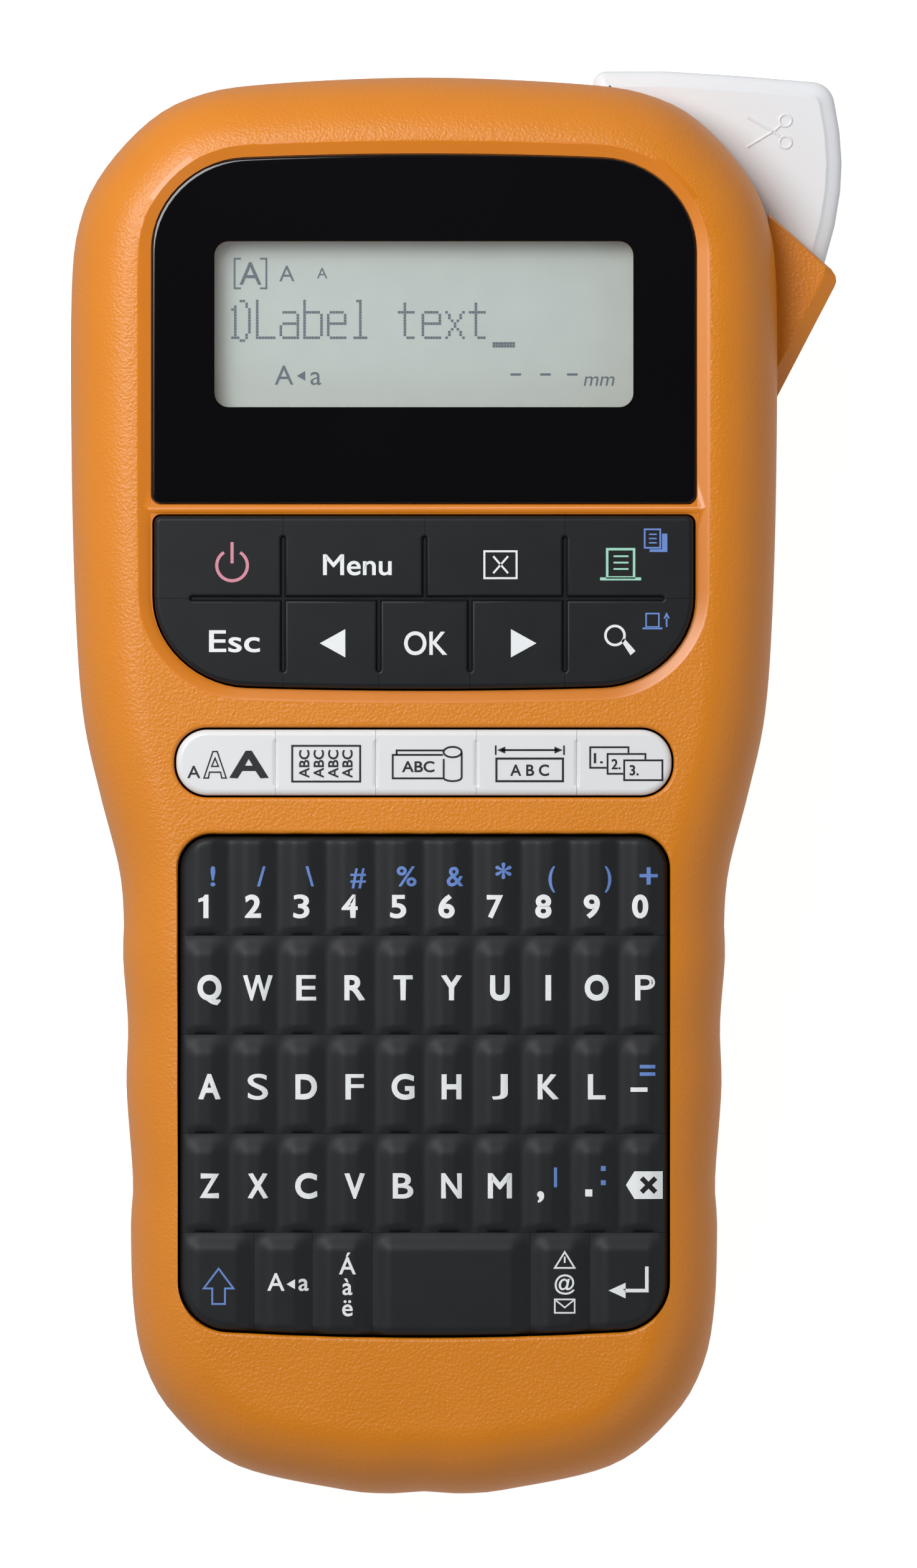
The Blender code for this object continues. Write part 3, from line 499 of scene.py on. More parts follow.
def tub_rings(outline):
    edge = 0.35
    top = PARTING - SEAM
    path = [(WALL + 1.6, 2.2), (WALL + 0.4, 5.0), (WALL, 8.0), (WALL, top), (edge, top),
            (edge * 0.3, top - edge * 0.3),
            (0.0, top - edge)]
    path += [(BACK_ROLL * (1 - cosine), BACK_ROLL * (1 - sine)) for cosine, sine in quarter_turn(10)]
    path.append((BACK_ROLL + 0.5, 0.0))
    return [at_height(inset(outline, distance), z) for distance, z in path]


rear_shell = lofted("rear_casing", tub_rings(outline))
cover_hole = inset(outline, COVER_INSET - COVER_GAP)
carve(rear_shell, straight("cover_hole", cover_hole, -3, 4))
carve(rear_shell, lever_slot())


def slit(left, right, low, top, corner, near, far, grow=0.0):
    """A rounded slot through the display end, as rings from inside to outside."""
    shape = rounded(left, right, low, top, corner, corner, grow=grow, steps=5)
    return [[(x, y, z) for x, z in shape] for y in (near, far)]


EXIT = (12.4, 15.4, 4.0, 18.5)
carve(rear_shell, lofted("exit", slit(*EXIT, 1.2, 94, 99.75)[:1] + slit(*EXIT, 1.2, 94, 99.4)[1:]
                         + slit(*EXIT, 1.2, 0, 101.5, grow=1.1)[1:]))
jack_low, jack_high = box_mm("power_inlet")
jack_centre = ((jack_low[1] + jack_high[1]) / 2, (jack_low[2] + jack_high[2]) / 2)


def round_hole(x, radius):
    return [(x, y, z) for y, z in ring_points(*jack_centre, radius, 40)]


carve(rear_shell, lofted("plug_hole", [round_hole(40, 3.4), round_hole(45.6, 3.4), round_hole(47.8, 5.2)]))
smooth_edges(rear_shell)
face_with(rear_shell, textured_orange)
settle_in(rear_shell, "casing", "orange_casing", "rear_shell")

# ---------------------------------------------------------------- back cover
# One orange moulding that closes the tape bay and the battery bay. It snaps in flush with the back and is
# drawn off by a ribbed thumb catch at the display end.

cover_edge = 0.4
cover_rings = [
    at_height(inset(outline, COVER_INSET + cover_edge), 0), at_height(inset(outline, COVER_INSET + 0.1), 0.1),
    at_height(inset(outline, COVER_INSET), cover_edge), at_height(inset(outline, COVER_INSET), 2.0),
]
back_cover = lofted("rear_cover", cover_rings)
for k in range(7):
    y = 74 + 1.6 * k
    groove = [[(x, y + 0.4 * across, 0.45 * up) for across, up in ring_points(0, 0, 1, 12)] for x in (-9, 9)]
    carve(back_cover, lofted("groove", groove))
smooth_edges(back_cover)
face_with(back_cover, textured_orange)
settle_in(back_cover, "back_cover", "orange_casing", "back_cover")

# ---------------------------------------------------------------- lever guard
# The orange wedge on the right side. It is a moulded pocket, open towards the lever, that the lever's rim
# swings down into, so that a thumb can't be pinched between lever and casing.

GUARD = [(49.2, 53.4), (58.3, 70.9), (58.55, 71.6), (58.45, 72.4),
         (57.9, 73.3), (48.9, 81.3), (49.2, 76), (49.2, 70)]
GUARD_TOP = [(49.2, 57.4), (56.5, 71.7), (56.8, 72.4), (56.9, 72.9),
             (57.0, 73.7), (48.9, 80.9), (49.2, 76), (49.2, 70)]
GUARD_BEVEL = 1.1
guard_low, guard_high = box_mm("lever_guard")


guard = lofted("guard_wedge", [
    at_height(GUARD_TOP, guard_low[2]), at_height(GUARD, guard_low[2] + GUARD_BEVEL),
    at_height(GUARD, guard_high[2] - GUARD_BEVEL), at_height(GUARD_TOP, guard_high[2]),
])
lever_low, lever_high = box_mm("cutter_lever")
hollow = [(45, 55.4), (49.4, 55.4), (60.4, 78.2), (60.4, 90), (45, 90)]
carve(guard, straight("hollow", hollow, lever_low[2] - LEVER_GAP, lever_high[2] + LEVER_GAP))
bevel = guard.modifiers.new("edges", "BEVEL")
bevel.width, bevel.segments, bevel.limit_method, bevel.angle_limit = 0.22 * MM, 2, "ANGLE", math.radians(20)
settled(guard)
smooth_edges(guard, 12)
face_with(guard, textured_orange)
settle_in(guard, "casing", "orange_casing", "lever_guard")

# ---------------------------------------------------------------- cutter lever
# The white lever that works the tape cutter, moulded in glossy plastic. It turns on a steel pin inside the
# casing. Its faces have a broad bevel just inside the edge, and scissors stand in relief on the front.

PIVOT = (26.0, 84.0)
HUB = 6.0


def filleted(corners, steps=8):
    """A polygon with each corner (x, y, radius) rounded."""
    points = []
    for i, (x, y, radius) in enumerate(corners):
        before, after = corners[i - 1], corners[(i + 1) % len(corners)]
        to_a = Vector((before[0] - x, before[1] - y)).normalized()
        to_b = Vector((after[0] - x, after[1] - y)).normalized()
        if radius == 0:
            points.append((x, y))
            continue
        half = to_a.angle(to_b) / 2
        centre = Vector((x, y)) + (to_a + to_b).normalized() * (radius / math.sin(half))
        start = Vector((x, y)) + to_a * (radius / math.tan(half)) - centre
        end = Vector((x, y)) + to_b * (radius / math.tan(half)) - centre
        sweep = start.angle_signed(end)
        for step in range(steps + 1):
            turned = start.copy()
            turned.rotate(Matrix.Rotation(-sweep * step / steps, 2))
            points.append((centre.x + turned.x, centre.y + turned.y))
    return points


def lever_outline():
    rim = [(28, 78.3, 0), (46, 71.6, 0), (55.6, 71.2, 0), (56.9, 74.1, 0), (58.4, 79.6, 0),
           (59.2, 84.5, 0), (59.4, 88.6, 0), (59.1, 93.0, 0), (57.9, 99.9, 3.3), (44.4, 101.0, 0),
           (34.0, 101.65, 0), (24.6, 101.6, 1.6), (23.6, 98.5, 0)]
    hub = [(PIVOT[0] + HUB * math.cos(a), PIVOT[1] + HUB * math.sin(a), 0)
           for a in (math.radians(d) for d in range(104, 281, 16))]
    return evenly(filleted(rim + hub), 220)


def bevelled_plate(outline, low, high):
    """Rings from the back's flat centre to the front's: flat, broad bevel, rounded edge, and back again."""
    upper = [(0.0, -1.9), (0.1, -1.45), (0.35, -1.05), (0.8, -0.72), (1.5, -0.42), (2.0, -0.26),
             (2.15, -0.05), (2.3, 0.0)]
    path = [(d, low - z) for d, z in reversed(upper)] + [(d, high + z) for d, z in upper]
    return [at_height(inset(outline, distance), z) for distance, z in path]


lever = lofted("lever_fan", bevelled_plate(lever_outline(), lever_low[2], lever_high[2]))
carve(lever, straight("bore", ring_points(*PIVOT, 2.6, 48), 20, 40))


def stroke(name, points, width, low, high, closed=False):
    """A raised line of constant width with round ends along a route in the flat."""
    path = bpy.data.curves.new(name, "CURVE")
    path.dimensions = "3D"
    path.fill_mode = "FULL"
    path.bevel_depth, path.bevel_resolution, path.use_fill_caps = width / 2 * MM, 3, True
    spline = path.splines.new("POLY")
    spline.points.add(len(points) - 1)
    spline.use_cyclic_u = closed
    for spot, (x, y) in zip(spline.points, points):
        spot.co = (x * MM, y * MM, 0, 1)
    holder = placed(name, path)
    data = plain_mesh(holder)
    bpy.data.objects.remove(holder)
    squeeze = (high - low) / width
    for vertex in data.vertices:
        vertex.co.z = (low + high) / 2 * MM + vertex.co.z * squeeze
    return placed(name, data)


def joined(name, pieces):
    """Several small shapes gathered into one piece."""
    mesh = bmesh.new()
    for piece in pieces:
        mesh.from_mesh(piece.data)
    looks = list(pieces[0].data.materials)
    for piece in pieces:
        bpy.data.objects.remove(piece)
    made = as_piece(name, mesh)
    for look in looks:
        made.data.materials.append(look)
    return made


sign_low, sign_high = lever_high[2] - 0.2, lever_high[2] + 0.22
sign = [
    stroke("blade_a", [(45.9, 95.1), (50.0, 92.8), (50.7, 92.1)], 0.42, sign_low, sign_high),
    stroke("blade_b", [(45.9, 90.8), (50.0, 93.3), (50.7, 94.0)], 0.42, sign_low, sign_high),
    stroke("ring_a", ring_points(51.35, 94.6, 0.85), 0.42, sign_low, sign_high, True),
    stroke("ring_b", ring_points(51.35, 91.5, 0.85), 0.42, sign_low, sign_high, True),
]
smooth_edges(lever, 50)
lever_sign = joined("lever_scissors_sign", sign)
lever_sign.data.shade_smooth()
white_gloss = finish("white_gloss", (0.84, 0.85, 0.87), 0.26, 0.9, 0.003, tone=0.012)
face_with(lever, white_gloss)
face_with(lever_sign, white_gloss)
settle_in(lever, "cutter_lever", "white_plastic", "cutter_lever")
settle_in(lever_sign, "cutter_lever", "white_plastic")

# ---------------------------------------------------------------- display window
# A polished acrylic window, printed black on its back except over the screen. It is stuck into the shell's
# seat, just below the rim, with a thin clear pane left over the screen opening.

GLASS_FRONT = FACE - RIM_DROP + 0.05
PANE_GAP = 0.02


def window_plate():
    edge = 0.25
    path = [(0.0, window_low[2]), (0.0, GLASS_FRONT - edge), (edge * 0.3, GLASS_FRONT - edge * 0.3),
            (edge, GLASS_FRONT),
            (edge + 0.4, GLASS_FRONT)]
    return [at_height(inset(window_outline(), distance), z) for distance, z in path]


window = lofted("window_mask", window_plate())
screen_mouth = rounded(*SCREEN, 2.0, 2.0, steps=8)
carve(window, straight("mouth", screen_mouth, 50, 58))
smooth_edges(window, 40)
piano_black = finish("window_black", (0.004, 0.004, 0.005), 0.06, 3.0, 0.0, tone=0.3, gloss=0.015)
face_with(window, piano_black)
settle_in(window, "casing", "window", "display_window")

pane_edges = [edge + PANE_GAP * side for edge, side in zip(SCREEN, (1, -1, 1, -1))]
pane = straight("window_pane", rounded(*pane_edges, 2.0, 2.0, steps=8), GLASS_FRONT - 0.9, GLASS_FRONT)
clear = principled("clear_acrylic", (0.9, 0.93, 0.92), 0.04)
clear.node_tree.nodes["Principled BSDF"].inputs["Alpha"].default_value = 0.05
grain(clear, 3.0, 0.0, tone=0.01, gloss=0.015)
smooth_edges(pane)
face_with(pane, clear)
settle_in(pane, "casing", "window")

# ---------------------------------------------------------------- liquid crystal panel
# A glass panel behind the window, grey-green, with its figures shown as dark segments. The writing line is
# a grid of small square dots, and the signs above and below it are printed shapes that switch on whole.

panel_low, panel_high = box_mm("lcd_panel")
PANEL_FRONT = panel_high[2]


def oblong(left, low, right, top):
    return [(left, low), (right, low), (right, top), (left, top)]


def block(name, low, high):
    return straight(name, oblong(low[0], low[1], high[0], high[1]), low[2], high[2])


crystal = finish("liquid_crystal", (0.45, 0.515, 0.485), 0.35, 0.25, 0.0, tone=0.05)
panel = smooth_edges(face_with(block("display_panel", panel_low, panel_high), crystal))
settle_in(panel, "casing", "lcd", "lcd_panel")


def ink(name, colour, roughness=0.5):
    """A printed or moulded-in colour, very slightly uneven."""
    return grain(principled(name, colour, roughness), 0.4, 0.0, tone=0.03, gloss=0.03)


def thicken(flat, by):
    """Moves the outline of flat letters outwards, to make them bold."""
    mesh = bmesh.new()
    mesh.from_mesh(flat)
    bmesh.ops.remove_doubles(mesh, verts=mesh.verts, dist=0.00001)
    moves = []
    for vertex in mesh.verts:
        outward = []
        for edge in (edge for edge in vertex.link_edges if edge.is_boundary):
            loop = edge.link_loops[0]
            along = (loop.link_loop_next.vert.co - loop.vert.co).normalized()
            outward.append(along.cross(loop.face.normal))
        if outward:
            mitre = sum(outward, Vector()).normalized()
            moves.append((vertex, mitre * by / max(0.85, mitre.dot(outward[0]))))
    for vertex, move in moves:
        vertex.co += move
    mesh.to_mesh(flat)
    mesh.free()


def drawn(name, text, bold):
    """The flat faces of a line of text in the plain built-in lettering."""
    letters = bpy.data.curves.new(name, "FONT")
    letters.body, letters.resolution_u = text, 6
    holder = placed(name, letters)
    flat = plain_mesh(holder)
    bpy.data.objects.remove(holder)
    if text == "J":
        foot, head = min(v.co.y for v in flat.vertices), max(v.co.y for v in flat.vertices)
        for vertex in flat.vertices:
            vertex.co.y = (vertex.co.y - foot) * head / (head - foot)
    if bold:
        thicken(flat, bold)
    return flat


def height_of_capital():
    return max(vertex.co.y for vertex in drawn("capital", "H", 0).vertices)


CAPITAL = height_of_capital()


def print_text(sheet, text, x, y, height, look=0, bold=0.0, width=0.0, turn=0.0, lean=0.0):
    """Adds text to a sheet of flat shapes: centred across on x, its capitals centred up and down on y."""
    flat = drawn("text", text, bold)
    scale = height / (CAPITAL + 2 * bold)
    left, right = min(v.co.x for v in flat.vertices), max(v.co.x for v in flat.vertices)
    spread = width / (right - left) if width else scale
    before = len(sheet.faces)
    for vertex in flat.vertices:
        across = (vertex.co.x - (left + right) / 2 + vertex.co.y * lean) * spread
        up = (vertex.co.y - CAPITAL / 2) * scale
        angle = math.radians(turn)
        vertex.co = (x + across * math.cos(angle) - up * math.sin(angle),
                     y + across * math.sin(angle) + up * math.cos(angle), 0)
    sheet.from_mesh(flat)
    sheet.faces.ensure_lookup_table()
    for face in sheet.faces[before:]:
        face.material_index = look


def print_area(sheet, points, look=0):
    face = sheet.faces.new([sheet.verts.new((x, y, 0)) for x, y in points])
    face.material_index = look


def print_line(sheet, points, width, look=0, closed=False):
    """A line of constant width with mitred corners."""
    count = len(points)
    pairs = []
    for i, (x, y) in enumerate(points):
        here = Vector((x, y))
        before = Vector(points[i - 1]) if closed or i else None
        after = Vector(points[(i + 1) % count]) if closed or i < count - 1 else None
        along_in = (here - before).normalized() if before else (after - here).normalized()
        along_out = (after - here).normalized() if after else along_in
        mitre = (along_in + along_out).normalized()
        reach = width / 2 / max(0.35, mitre.dot(along_in))
        side = Vector((-mitre.y, mitre.x)) * reach
        pairs.append((sheet.verts.new((here + side).to_3d()), sheet.verts.new((here - side).to_3d())))
    for a, b in zip(pairs, pairs[1:] + (pairs[:1] if closed else [])):
        face = sheet.faces.new((a[1], b[1], b[0], a[0]))
        face.material_index = look


def print_bar(sheet, ax, ay, bx, by, width, look=0):
    print_line(sheet, [(ax, ay), (bx, by)], width, look)


def print_box(sheet, left, low, right, top, width, look=0):
    print_line(sheet, oblong(left, low, right, top), width, look, True)


def print_block(sheet, left, low, right, top, look=0):
    print_area(sheet, oblong(left, low, right, top), look)


def drawn_sheet(steps):
    """A sheet with every drawing step carried out on it, each step a drawing call with its values."""
    sheet = bmesh.new()
    for draw, *values in steps:
        draw(sheet, *values)
    return sheet


def level(z):
    return lambda x, y: z


def lay_print(name, sheet, looks, surface, body, slot, step=0.0, proud=0.03):
    """Turns a sheet of flat shapes into a thin closed skin that follows a surface, and fixes it to a body."""
    bmesh.ops.remove_doubles(sheet, verts=sheet.verts, dist=0.0005)
    if step:
        for axis in (0, 1):
            low, high = min(v.co[axis] for v in sheet.verts), max(v.co[axis] for v in sheet.verts)
            for k in range(1, int((high - low) / step)):
                at, normal = [0, 0, 0], [0, 0, 0]
                at[axis], normal[axis] = low + k * step, 1
                parts = list(sheet.verts) + list(sheet.edges) + list(sheet.faces)
                bmesh.ops.bisect_plane(sheet, geom=parts, plane_co=at, plane_no=normal)
    sheet.normal_update()
    for face in sheet.faces:
        face.smooth = False
        if face.normal.z < 0:
            face.normal_flip()
    skin = bmesh.ops.extrude_face_region(sheet, geom=list(sheet.faces), use_keep_orig=True)
    upper = {part for part in skin["geom"] if isinstance(part, bmesh.types.BMVert)}
    for vertex in sheet.verts:
        z = surface(vertex.co.x, vertex.co.y)
        vertex.co.z = z + proud if vertex in upper else z - 0.06
    bmesh.ops.recalc_face_normals(sheet, faces=sheet.faces)
    for vertex in sheet.verts:
        vertex.co *= MM
    printed = face_with(as_piece(name, sheet), *looks)
    return settle_in(printed, body, slot)


slate = ink("crystal_slate", (0.032, 0.066, 0.095), 0.4)
signs = bmesh.new()
print_line(signs, [(-25.9, 74.6), (-26.8, 74.6), (-26.8, 70.4), (-25.9, 70.4)], 0.26)
print_line(signs, [(-23.2, 74.6), (-22.3, 74.6), (-22.3, 70.4), (-23.2, 70.4)], 0.26)
print_text(signs, "A", -24.55, 72.5, 3.2, bold=0.004)
print_text(signs, "A", -19.4, 72.5, 2.2)
print_text(signs, "A", -14.4, 72.55, 1.5)
print_text(signs, "A", -19.8, 58.1, 2.7)
print_area(signs, [(-18.0, 58.0), (-16.8, 57.3), (-16.8, 58.7)])
print_text(signs, "a", -15.3, 58.1, 2.7)
for x in (13.0, 17.2, 21.0):
    print_bar(signs, x - 0.75, 58.2, x + 0.75, 58.2, 0.32)
print_text(signs, "mm", 24.7, 57.6, 2.0, lean=0.2)
lay_print("crystal_signs", signs, [slate], level(PANEL_FRONT), "casing", "lcd")

DOT_PITCH, DOT_SIZE = 0.4, 0.36
STROKES = {
    "1": [[(0, 10), (1, 11), (1, 0)], [(0, 0), (2, 0)]], "L": [[(0, 13), (0, 0), (6, 0)]],
    "a": [[(1, 9), (5, 9)], [(6, 8), (6, 0)], [(1, 5), (6, 5)], [(0, 4), (0, 1)], [(1, 0), (5, 0)]],
    "b": [[(0, 13), (0, 0)], [(1, 0), (5, 0)], [(6, 1), (6, 8)], [(5, 9), (1, 9)]],
    "e": [[(1, 9), (5, 9)], [(6, 8), (6, 5), (0, 5)], [(0, 8), (0, 1)], [(1, 0), (6, 0)]],
    "l": [[(2, 13), (3, 13), (3, 0)], [(1, 0), (5, 0)]],
    "t": [[(2, 12), (2, 1)], [(0, 9), (5, 9)], [(3, 0), (5, 0)]],
    "x": [[(0, 9), (6, 0)], [(0, 0), (6, 9)]], "_": [[(0, -2), (7, -2)], [(0, -3), (7, -3)]],
    ")": [[(0, 13), (1, 13)], [(2, 12), (3, 9), (3, 3), (2, 0)], [(1, -1), (0, -1)]],
}


def lit_dots(line, left, base, pitch):
    """The dots that are on for a line of text, each letter's strokes read onto the grid."""
    lit = set()
    for place, letter in enumerate(line):
        for route in STROKES.get(letter, []):
            for (ax, ay), (bx, by) in zip(route, route[1:]):
                length = max(abs(bx - ax), abs(by - ay))
                for k in range(length + 1):
                    lit.add((place, round(ax + (bx - ax) * k / length), round(ay + (by - ay) * k / length)))
    return [(left + place * pitch + i * DOT_PITCH, base + j * DOT_PITCH) for place, i, j in sorted(lit)]


def dot_tree(look):
    """Places a small square tile on every point of a mesh."""
    tree = bpy.data.node_groups.new("crystal_dots", "GeometryNodeTree")
    tree.interface.new_socket("Geometry", in_out="INPUT", socket_type="NodeSocketGeometry")
    tree.interface.new_socket("Dot Size", in_out="INPUT", socket_type="NodeSocketFloat")
    tree.interface.new_socket("Dot Height", in_out="INPUT", socket_type="NodeSocketFloat")
    tree.interface.new_socket("Geometry", in_out="OUTPUT", socket_type="NodeSocketGeometry")
    nodes, links = tree.nodes, tree.links
    given, result = nodes.new("NodeGroupInput"), nodes.new("NodeGroupOutput")
    size, tile = nodes.new("ShaderNodeCombineXYZ"), nodes.new("GeometryNodeMeshCube")
    spread, real = nodes.new("GeometryNodeInstanceOnPoints"), nodes.new("GeometryNodeRealizeInstances")
    dress = nodes.new("GeometryNodeSetMaterial")
    dress.inputs["Material"].default_value = look
    for axis, name in (("X", "Dot Size"), ("Y", "Dot Size"), ("Z", "Dot Height")):
        links.new(given.outputs[name], size.inputs[axis])
    links.new(size.outputs[0], tile.inputs["Size"])
    links.new(given.outputs["Geometry"], spread.inputs["Points"])
    links.new(tile.outputs["Mesh"], spread.inputs["Instance"])
    links.new(spread.outputs[0], real.inputs[0])
    links.new(real.outputs[0], dress.inputs[0])
    links.new(dress.outputs[0], result.inputs[0])
    return tree


def grown(piece, tree, values):
    """The piece put through a node tree with the named inputs set, and made a plain mesh."""
    step = piece.modifiers.new("grow", "NODES")
    step.node_group = tree
    for item in tree.interface.items_tree:
        if item.in_out == "INPUT" and item.name in values:
            step[item.identifier] = values[item.name]
    return settled(piece)


spots = bmesh.new()
for x, y in lit_dots("1)", -27.1, 63.4, 1.2) + lit_dots("Label text_", -23.6, 63.4, 3.35):
    spots.verts.new((x * MM, y * MM, (PANEL_FRONT + 0.01) * MM))
writing_line = grown(as_piece("crystal_writing_line", spots), dot_tree(slate),
                     {"Dot Size": DOT_SIZE * MM, "Dot Height": 0.04 * MM})
face_with(writing_line, slate)
settle_in(writing_line, "casing", "lcd")

# ---------------------------------------------------------------- function keys
# Nine keys in one flush sheet of dark rubber under the window. Narrow channels with rounded ends part them,
# and each carries its word or sign in printed ink.

TOP = box_mm("menu_key")[1][2]
FOOT = box_mm("menu_key")[0][2]
CHANNEL_WIDTH, CHANNEL_DEPTH = 0.8, 0.6


def soft_block(name, outline_at, top, edge, foot=FOOT):
    """A flat-topped block whose upper edge is rounded over."""
    rings = [at_height(outline_at(0), foot)]
    for cosine, sine in quarter_turn(5):
        rings.append(at_height(outline_at(-edge * (1 - cosine)), top - edge * (1 - sine)))
    return lofted(name, rings)


def capsule(a, b, half, sides=8):
    """The outline of a rounded-end bar from a to b."""
    along = math.atan2(b[1] - a[1], b[0] - a[0])
    points = []
    for end, start in ((b, along - math.pi / 2), (a, along + math.pi / 2)):
        turns = [start + math.pi * k / sides for k in range(sides + 1)]
        points += [(end[0] + half * math.cos(turn), end[1] + half * math.sin(turn)) for turn in turns]
    return points


def channel(a, b, width, depth, top):
    """A cutter for a channel with a round bottom and slightly flared edges."""
    half = width / 2
    path = [(half * 0.35, -depth), (half * 0.7, -depth * 0.8), (half * 0.92, -depth * 0.4), (half, -0.12),
            (half + 0.1, -0.04),
            (half + 0.28, 0.0), (half + 0.4, 0.4)]
    return lofted("channel", [at_height(capsule(a, b, reach), top + z) for reach, z in path])


def copy_of(piece, name):
    return placed(name, piece.data.copy())


charcoal = finish("function_rubber", (0.0085, 0.0095, 0.0115), 0.44, 0.22, 0.006, tone=0.08, specular=0.26)
white_ink = ink("white_ink", (0.80, 0.83, 0.84), 0.45)
pink_ink = ink("pink_ink", (0.62, 0.24, 0.32), 0.45)
mint_ink = ink("mint_ink", (0.34, 0.68, 0.53), 0.45)
blue_ink = ink("blue_ink", (0.13, 0.245, 0.60), 0.45)
INKS = [white_ink, pink_ink, mint_ink, blue_ink]
WHITE, PINK, MINT, BLUE = range(4)

function_sheet = soft_block("sheet", function_outline, TOP, 0.7)
middle_line = 26.45
for a, b in (
    [((-32.7, middle_line), (33.6, middle_line))]
    + [((x, 34.9), (x, middle_line)) for x in (-19.9, 0.1, 19.9)]
    + [((x, middle_line), (x, 16.4)) for x in (-19.9, -6.4, 6.5, 19.9)]
):
    carve(function_sheet, channel(a, b, CHANNEL_WIDTH, CHANNEL_DEPTH, TOP))
FUNCTION_CELLS = {
    "power_key": (-39, -19.9, middle_line, 39), "menu_key": (-19.9, 0.1, middle_line, 39),
    "clear_key": (0.1, 19.9, middle_line, 39), "print_key": (19.9, 39, middle_line, 39),
    "escape_key": (-39, -19.9, 12, middle_line), "left_key": (-19.9, -6.4, 12, middle_line),
    "ok_key": (-6.4, 6.5, 12, middle_line), "right_key": (6.5, 19.9, 12, middle_line),
    "preview_key": (19.9, 39, 12, middle_line),
}


SIDE_GAP = 0.02


def parted(sheet, cells, look, slot):
    """Parts a sheet into its keys, each standing for the plain solid of the same name."""
    for node, (left, right, low, top) in cells.items():
        piece = copy_of(sheet, f"{node}_top")
        cell = block("cell", (left + SIDE_GAP, low + SIDE_GAP, 40), (right - SIDE_GAP, top - SIDE_GAP, 60))
        carve(piece, cell, "INTERSECT")
        smooth_edges(face_with(piece, look), 38)
        settle_in(piece, node, slot, node)
    bpy.data.objects.remove(sheet)


parted(function_sheet, FUNCTION_CELLS, charcoal, "function_rubber")


def arc(x, y, radius, start, end, steps=24):
    return [(x + radius * math.cos(math.radians(start + (end - start) * k / steps)),
             y + radius * math.sin(math.radians(start + (end - start) * k / steps)))
            for k in range(steps + 1)]


def function_print(node, *steps):
    lay_print(f"{node}_legend", drawn_sheet(steps), INKS, level(TOP), node, "function_rubber")


function_print(
    "power_key", (print_line, arc(-27.1, 31.1, 2.17, 122, 418), 0.44, PINK),
    (print_bar, -27.1, 34.4, -27.1, 31.4, 0.44, PINK),
)
function_print("menu_key", (print_text, "Menu", -9.4, 31.2, 2.95, WHITE, 0.014, 9.7))
function_print(
    "clear_key", (print_box, 8.55, 29.3, 13.1, 33.1, 0.28, WHITE),
    (print_bar, 9.8, 32.4, 11.9, 30.0, 0.28, WHITE), (print_bar, 11.9, 32.4, 9.8, 30.0, 0.28, WHITE),
)
function_print(
    "print_key", (print_box, 25.9, 29.4, 29.7, 33.4, 0.34, MINT),
    (print_bar, 24.9, 29.2, 30.7, 29.2, 0.42, MINT),
    *((print_bar, 26.8, y, 28.9, y, 0.24, MINT) for y in (30.6, 31.5, 32.4)),
    (print_box, 31.2, 33.6, 33.4, 36.2, 0.24, BLUE),
    *((print_bar, 31.8, y, 32.9, y, 0.2, BLUE) for y in (34.3, 34.9, 35.5)),
    (print_block, 33.65, 33.0, 34.4, 35.6, BLUE), (print_block, 31.9, 33.0, 33.65, 33.4, BLUE),
)
function_print("escape_key", (print_text, "Esc", -26.75, 20.4, 3.1, WHITE, 0.012, 7.2))
function_print("left_key", (print_area, [(-14.7, 20.1), (-11.1, 18.1), (-11.1, 22.1)], WHITE))
function_print("ok_key", (print_text, "OK", 0.25, 20.1, 3.3, WHITE, 0.012, 6.1))
function_print("right_key", (print_area, [(15.9, 20.1), (12.3, 22.1), (12.3, 18.1)], WHITE))
function_print(
    "preview_key", (print_line, arc(27.0, 21.2, 1.35, 0, 345), 0.36, WHITE, True),
    (print_area, [(27.9, 20.4), (28.3, 20.8), (29.9, 19.0), (29.2, 18.4)], WHITE),
    (print_box, 31.4, 22.4, 33.2, 24.3, 0.22, BLUE),
    (print_bar, 30.9, 22.2, 33.7, 22.2, 0.26, BLUE), (print_bar, 34.3, 22.4, 34.3, 23.8, 0.24, BLUE),
    (print_area, [(34.3, 24.5), (33.85, 23.6), (34.75, 23.6)], BLUE),
)

# ---------------------------------------------------------------- shortcut keys
# Five glossy white keys in one rounded strip: lettering size, frame, cable flag, label length and
# numbering. Short grooves part them, and their signs are printed in black.

STRIP_LINES = (-21.0, -6.8, 7.4, 21.6)
strip_sheet = soft_block("strip", strip_outline, TOP, 0.9)
for x in STRIP_LINES:
    carve(strip_sheet, channel((x, 6.1), (x, 0.2), 0.5, 0.22, TOP))
strip_edges = [-36, *STRIP_LINES, 36]
strip_nodes = ("text_key", "frame_key", "cable_key", "length_key", "number_key")
white_keys = finish("white_keys", (0.76, 0.765, 0.77), 0.3, 0.6, 0.002, tone=0.015)
strip_cells = {node: (left, right, -3, 10)
               for node, left, right in zip(strip_nodes, strip_edges, strip_edges[1:])}
parted(strip_sheet, strip_cells, white_keys, "white_plastic")
black_ink = ink("black_ink", (0.014, 0.015, 0.018), 0.4)


def strip_print(node, *steps):
    lay_print(f"{node}_legend", drawn_sheet(steps), [black_ink], level(TOP), node, "white_plastic")


def outlined_a(sheet, x, low, height, width):
    """A capital A drawn as a hollow outline."""
    half, foot, tip, bar = height * 0.42, height * 0.17, height * 0.08, height * 0.22
    print_line(sheet, [(x - half, low), (x - tip, low + height), (x + tip, low + height), (x + half, low),
                       (x + half - foot, low), (x + half * 0.5, low + bar), (x - half * 0.5, low + bar),
                       (x - half + foot, low)], width, 0, True)
    print_line(sheet, [(x - half * 0.3, low + bar * 2), (x + half * 0.3, low + bar * 2),
                       (x, low + bar * 3.4)], width, 0, True)


